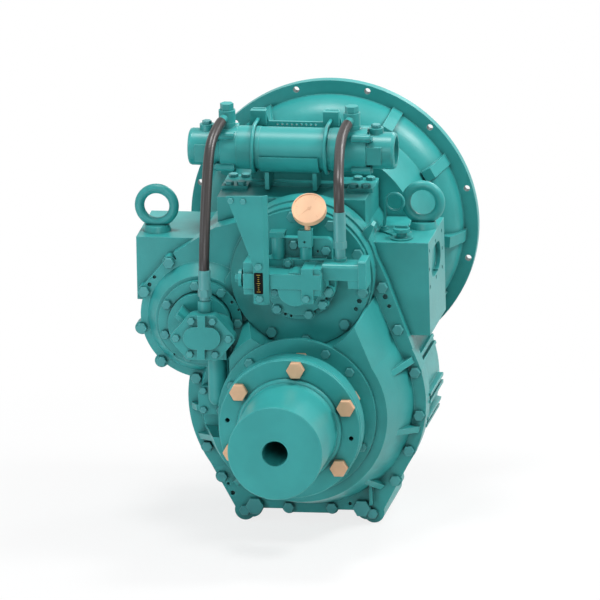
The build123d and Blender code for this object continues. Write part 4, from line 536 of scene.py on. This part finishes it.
def metal(name, colours, roughness, grain_mm, depth_mm, metallic=1.0, sprayed_behind=None):
    """A metal that drifts between two shades, with a fine grain, and sprayed behind a given Y."""
    made, tree = empty_material(name)
    where = add(tree, "ShaderNodeTexCoord").outputs["Object"]
    bloom = add(tree, "ShaderNodeTexNoise", {
        "Vector": where, "Scale": 1 / (METAL_BLOOM * MM), "Detail": 3.0,
    })
    shade = add(tree, "ShaderNodeMix", {
        0: bloom.outputs["Fac"], FIRST: linear(colours[0]), SECOND: linear(colours[1]),
    }, data_type="RGBA")
    grain = add(tree, "ShaderNodeTexNoise", {
        "Vector": where, "Scale": 1 / (grain_mm * MM), "Detail": 3.0,
    })
    gloss = add(tree, "ShaderNodeMapRange", {
        "Value": grain.outputs["Fac"],
        "To Min": roughness - METAL_GLOSS_SPREAD, "To Max": roughness + METAL_GLOSS_SPREAD,
    })
    round_edge = add(tree, "ShaderNodeBevel", {"Radius": METAL_EDGE * MM}, samples=4)
    bump = add(tree, "ShaderNodeBump", {
        "Strength": 0.4, "Distance": depth_mm * MM,
        "Height": grain.outputs["Fac"], "Normal": round_edge.outputs[0],
    })
    surface = add(tree, "ShaderNodeBsdfPrincipled", {
        "Base Color": shade.outputs[MIXED], "Roughness": gloss.outputs[0],
        "Normal": bump.outputs[0], "Metallic": metallic,
    })
    if sprayed_behind is not None:
        along = add(tree, "ShaderNodeSeparateXYZ", {0: where}).outputs["Y"]
        bare = add(tree, "ShaderNodeMath", {0: along, 1: sprayed_behind}, operation="GREATER_THAN")
        sprayed = add(tree, "ShaderNodeMix", {
            0: bare.outputs[0], FIRST: linear(TEAL), SECOND: shade.outputs[MIXED],
        }, data_type="RGBA")
        tree.links.new(sprayed.outputs[MIXED], surface.inputs["Base Color"])
        tree.links.new(bare.outputs[0], surface.inputs["Metallic"])
    add(tree, "ShaderNodeOutputMaterial", {0: surface.outputs[0]})
    return made


SHAFT_STEEL = ("#a3a6aa", "#8b8e93")
zinc_bolts = metal("yellow zinc plated steel", ("#e2b48f", "#d0a684"), 0.5, 1.5, 0.04, 0.35)
ground_steel = metal("ground gear steel", ("#8f9296", "#7b7e83"), 0.3, 0.8, 0.03)
turned_steel = metal("turned shaft steel", SHAFT_STEEL, 0.26, 0.6, 0.03)
sprayed_shaft = metal(
    "turned shaft steel, flange enamelled", SHAFT_STEEL, 0.34, 0.6, 0.03, sprayed_behind=cover_end,
)
bearing_steel = metal("polished bearing steel", ("#c3c6ca", "#b0b3b8"), 0.16, 0.6, 0.02)
copper = metal("drawn copper tube", ("#b8744a", "#9c5f3c"), 0.28, 0.9, 0.03)
peach_case = metal("peach lacquered gauge case", ("#f6c49c", "#eebb92"), 0.4, 2.0, 0.03, 0.0)
print("materials so far:", len(bpy.data.materials))

# %% [markdown]
# The rest are soft or printed: the hoses' wrapped rubber cover, the shaft seals, the clutch
# linings, the gauge's face and the black strip. Rubber is dark and only half glossy; the wrap
# leaves faint bands round the hose. The strip and its print are dull films that mirror little,
# so their IOR is lower than a paint's.

# %% Rubber, linings and printed faces
SOFT_PATCH = 25
DULL_FILM_IOR = 1.2
# At scale 1 a wave texture has its bands 0.31 m apart.
WAVE_PERIOD = 0.31


def soft_finish(name, colours, roughness, grain_mm, depth_mm, bands_mm=None, ior=1.5):
    """A matt or satin finish with a grain, and bands where a wrapped cover leaves them."""
    made, tree = empty_material(name)
    where = add(tree, "ShaderNodeTexCoord").outputs["Object"]
    patches = add(tree, "ShaderNodeTexNoise", {
        "Vector": where, "Scale": 1 / (SOFT_PATCH * MM), "Detail": 3.0,
    })
    shade = add(tree, "ShaderNodeMix", {
        0: patches.outputs["Fac"], FIRST: linear(colours[0]), SECOND: linear(colours[1]),
    }, data_type="RGBA")
    height = add(tree, "ShaderNodeTexNoise", {
        "Vector": where, "Scale": 1 / (grain_mm * MM), "Detail": 3.0,
    }).outputs["Fac"]
    if bands_mm:
        wrap = add(tree, "ShaderNodeTexWave", {
            "Vector": where, "Scale": WAVE_PERIOD / (bands_mm * MM), "Distortion": 0.6,
        }, bands_direction="Z")
        height = add(tree, "ShaderNodeMath", {
            0: wrap.outputs["Fac"], 1: 0.8, 2: height,
        }, operation="MULTIPLY_ADD").outputs[0]
    bump = add(tree, "ShaderNodeBump", {
        "Strength": 0.6, "Distance": depth_mm * MM, "Height": height,
    })
    surface = add(tree, "ShaderNodeBsdfPrincipled", {
        "Base Color": shade.outputs[MIXED], "Normal": bump.outputs[0],
        "Roughness": roughness, "IOR": ior,
    })
    add(tree, "ShaderNodeOutputMaterial", {0: surface.outputs[0]})
    return made


hose_rubber = soft_finish(
    "wrapped nitrile hose rubber", ("#2b2524", "#231f1e"), 0.36, 1.2, 0.15, bands_mm=4.0,
)
seal_rubber = soft_finish("moulded nitrile seals", ("#161718", "#101112"), 0.5, 1.0, 0.05)
lining = soft_finish("sintered clutch lining", ("#6b5438", "#57442d"), 0.75, 0.9, 0.1)
dial_face = soft_finish("printed gauge face", ("#fdcba3", "#fac69c"), 0.55, 3.0, 0.02)
dial_print = soft_finish("brown printed strokes", ("#f0ba93", "#ebb48d"), 0.55, 3.0, 0.02)
strip_black = soft_finish(
    "black anodised strip", ("#080909", "#0b0c0c"), 0.5, 1.2, 0.03, ior=DULL_FILM_IOR,
)
strip_print = soft_finish(
    "yellow printed strokes", ("#c9ae4a", "#b89e42"), 0.5, 2.0, 0.02, ior=DULL_FILM_IOR,
)
print("materials in all:", len(bpy.data.materials))

# %% [markdown]
# Each node of the model is one real piece, so it takes one finish. The castings are the usual
# one, and a short list gives the others by name.

# %% Finishes to nodes
FINISHES = {
    enamel_on_alloy: [
        "cooler_cap_left", "cooler_cap_right", "valve_body", "valve_end_cover",
        "oil_pump_cover", "regulating_cylinder",
    ],
    enamel_on_turned: [
        "companion_flange", "coupling_nose", "cooler_shell", "valve_spool", "lifting_eyes",
        "gauge_block", "filler_cap", "filler_fittings", "banjo_fittings", "dipstick",
        "suction_elbow",
    ],
    enamel_on_sheet: ["bracket_plate", "cooler_bracket", "cooler_straps"],
    enamel_on_bolts: [
        "case_bolts", "cover_bolts", "pump_bolts", "valve_bolts", "bracket_bolts",
        "cooler_bolts", "plugs",
    ],
    enamel_on_sleeves: ["hose_ferrules"],
    zinc_bolts: ["coupling_bolts"],
    ground_steel: [
        "input_clutch_gear", "reverse_clutch_gear", "ahead_pinion", "astern_pinion",
        "output_gear", "pump_drive_gear", "pump_idler_gear", "ahead_steel_plates",
        "astern_steel_plates",
    ],
    turned_steel: ["input_shaft", "reverse_shaft", "ahead_piston", "astern_piston"],
    sprayed_shaft: ["output_shaft"],
    bearing_steel: ["shaft_bearings"],
    copper: ["cooler_tubes"],
    peach_case: ["gauge_case"],
    seal_rubber: ["shaft_seals"],
    lining: ["ahead_friction_plates", "astern_friction_plates"],
    dial_face: ["gauge_face"],
}
finish_of = {name: finish for finish, names in FINISHES.items() for name in names}
for name, node in nodes.items():
    node.data.materials.clear()
    node.data.materials.append(finish_of.get(name, enamel_on_casting))
for piece, finish in (
    (gauge_scale, dial_print), (gauge_pointer, dial_print), (position_strip, strip_black),
    (strip_strokes, strip_print), (pump_hose, hose_rubber), (valve_hose, hose_rubber),
):
    piece.data.materials.append(finish)
print("castings:", sorted(set(nodes) - set(finish_of)))
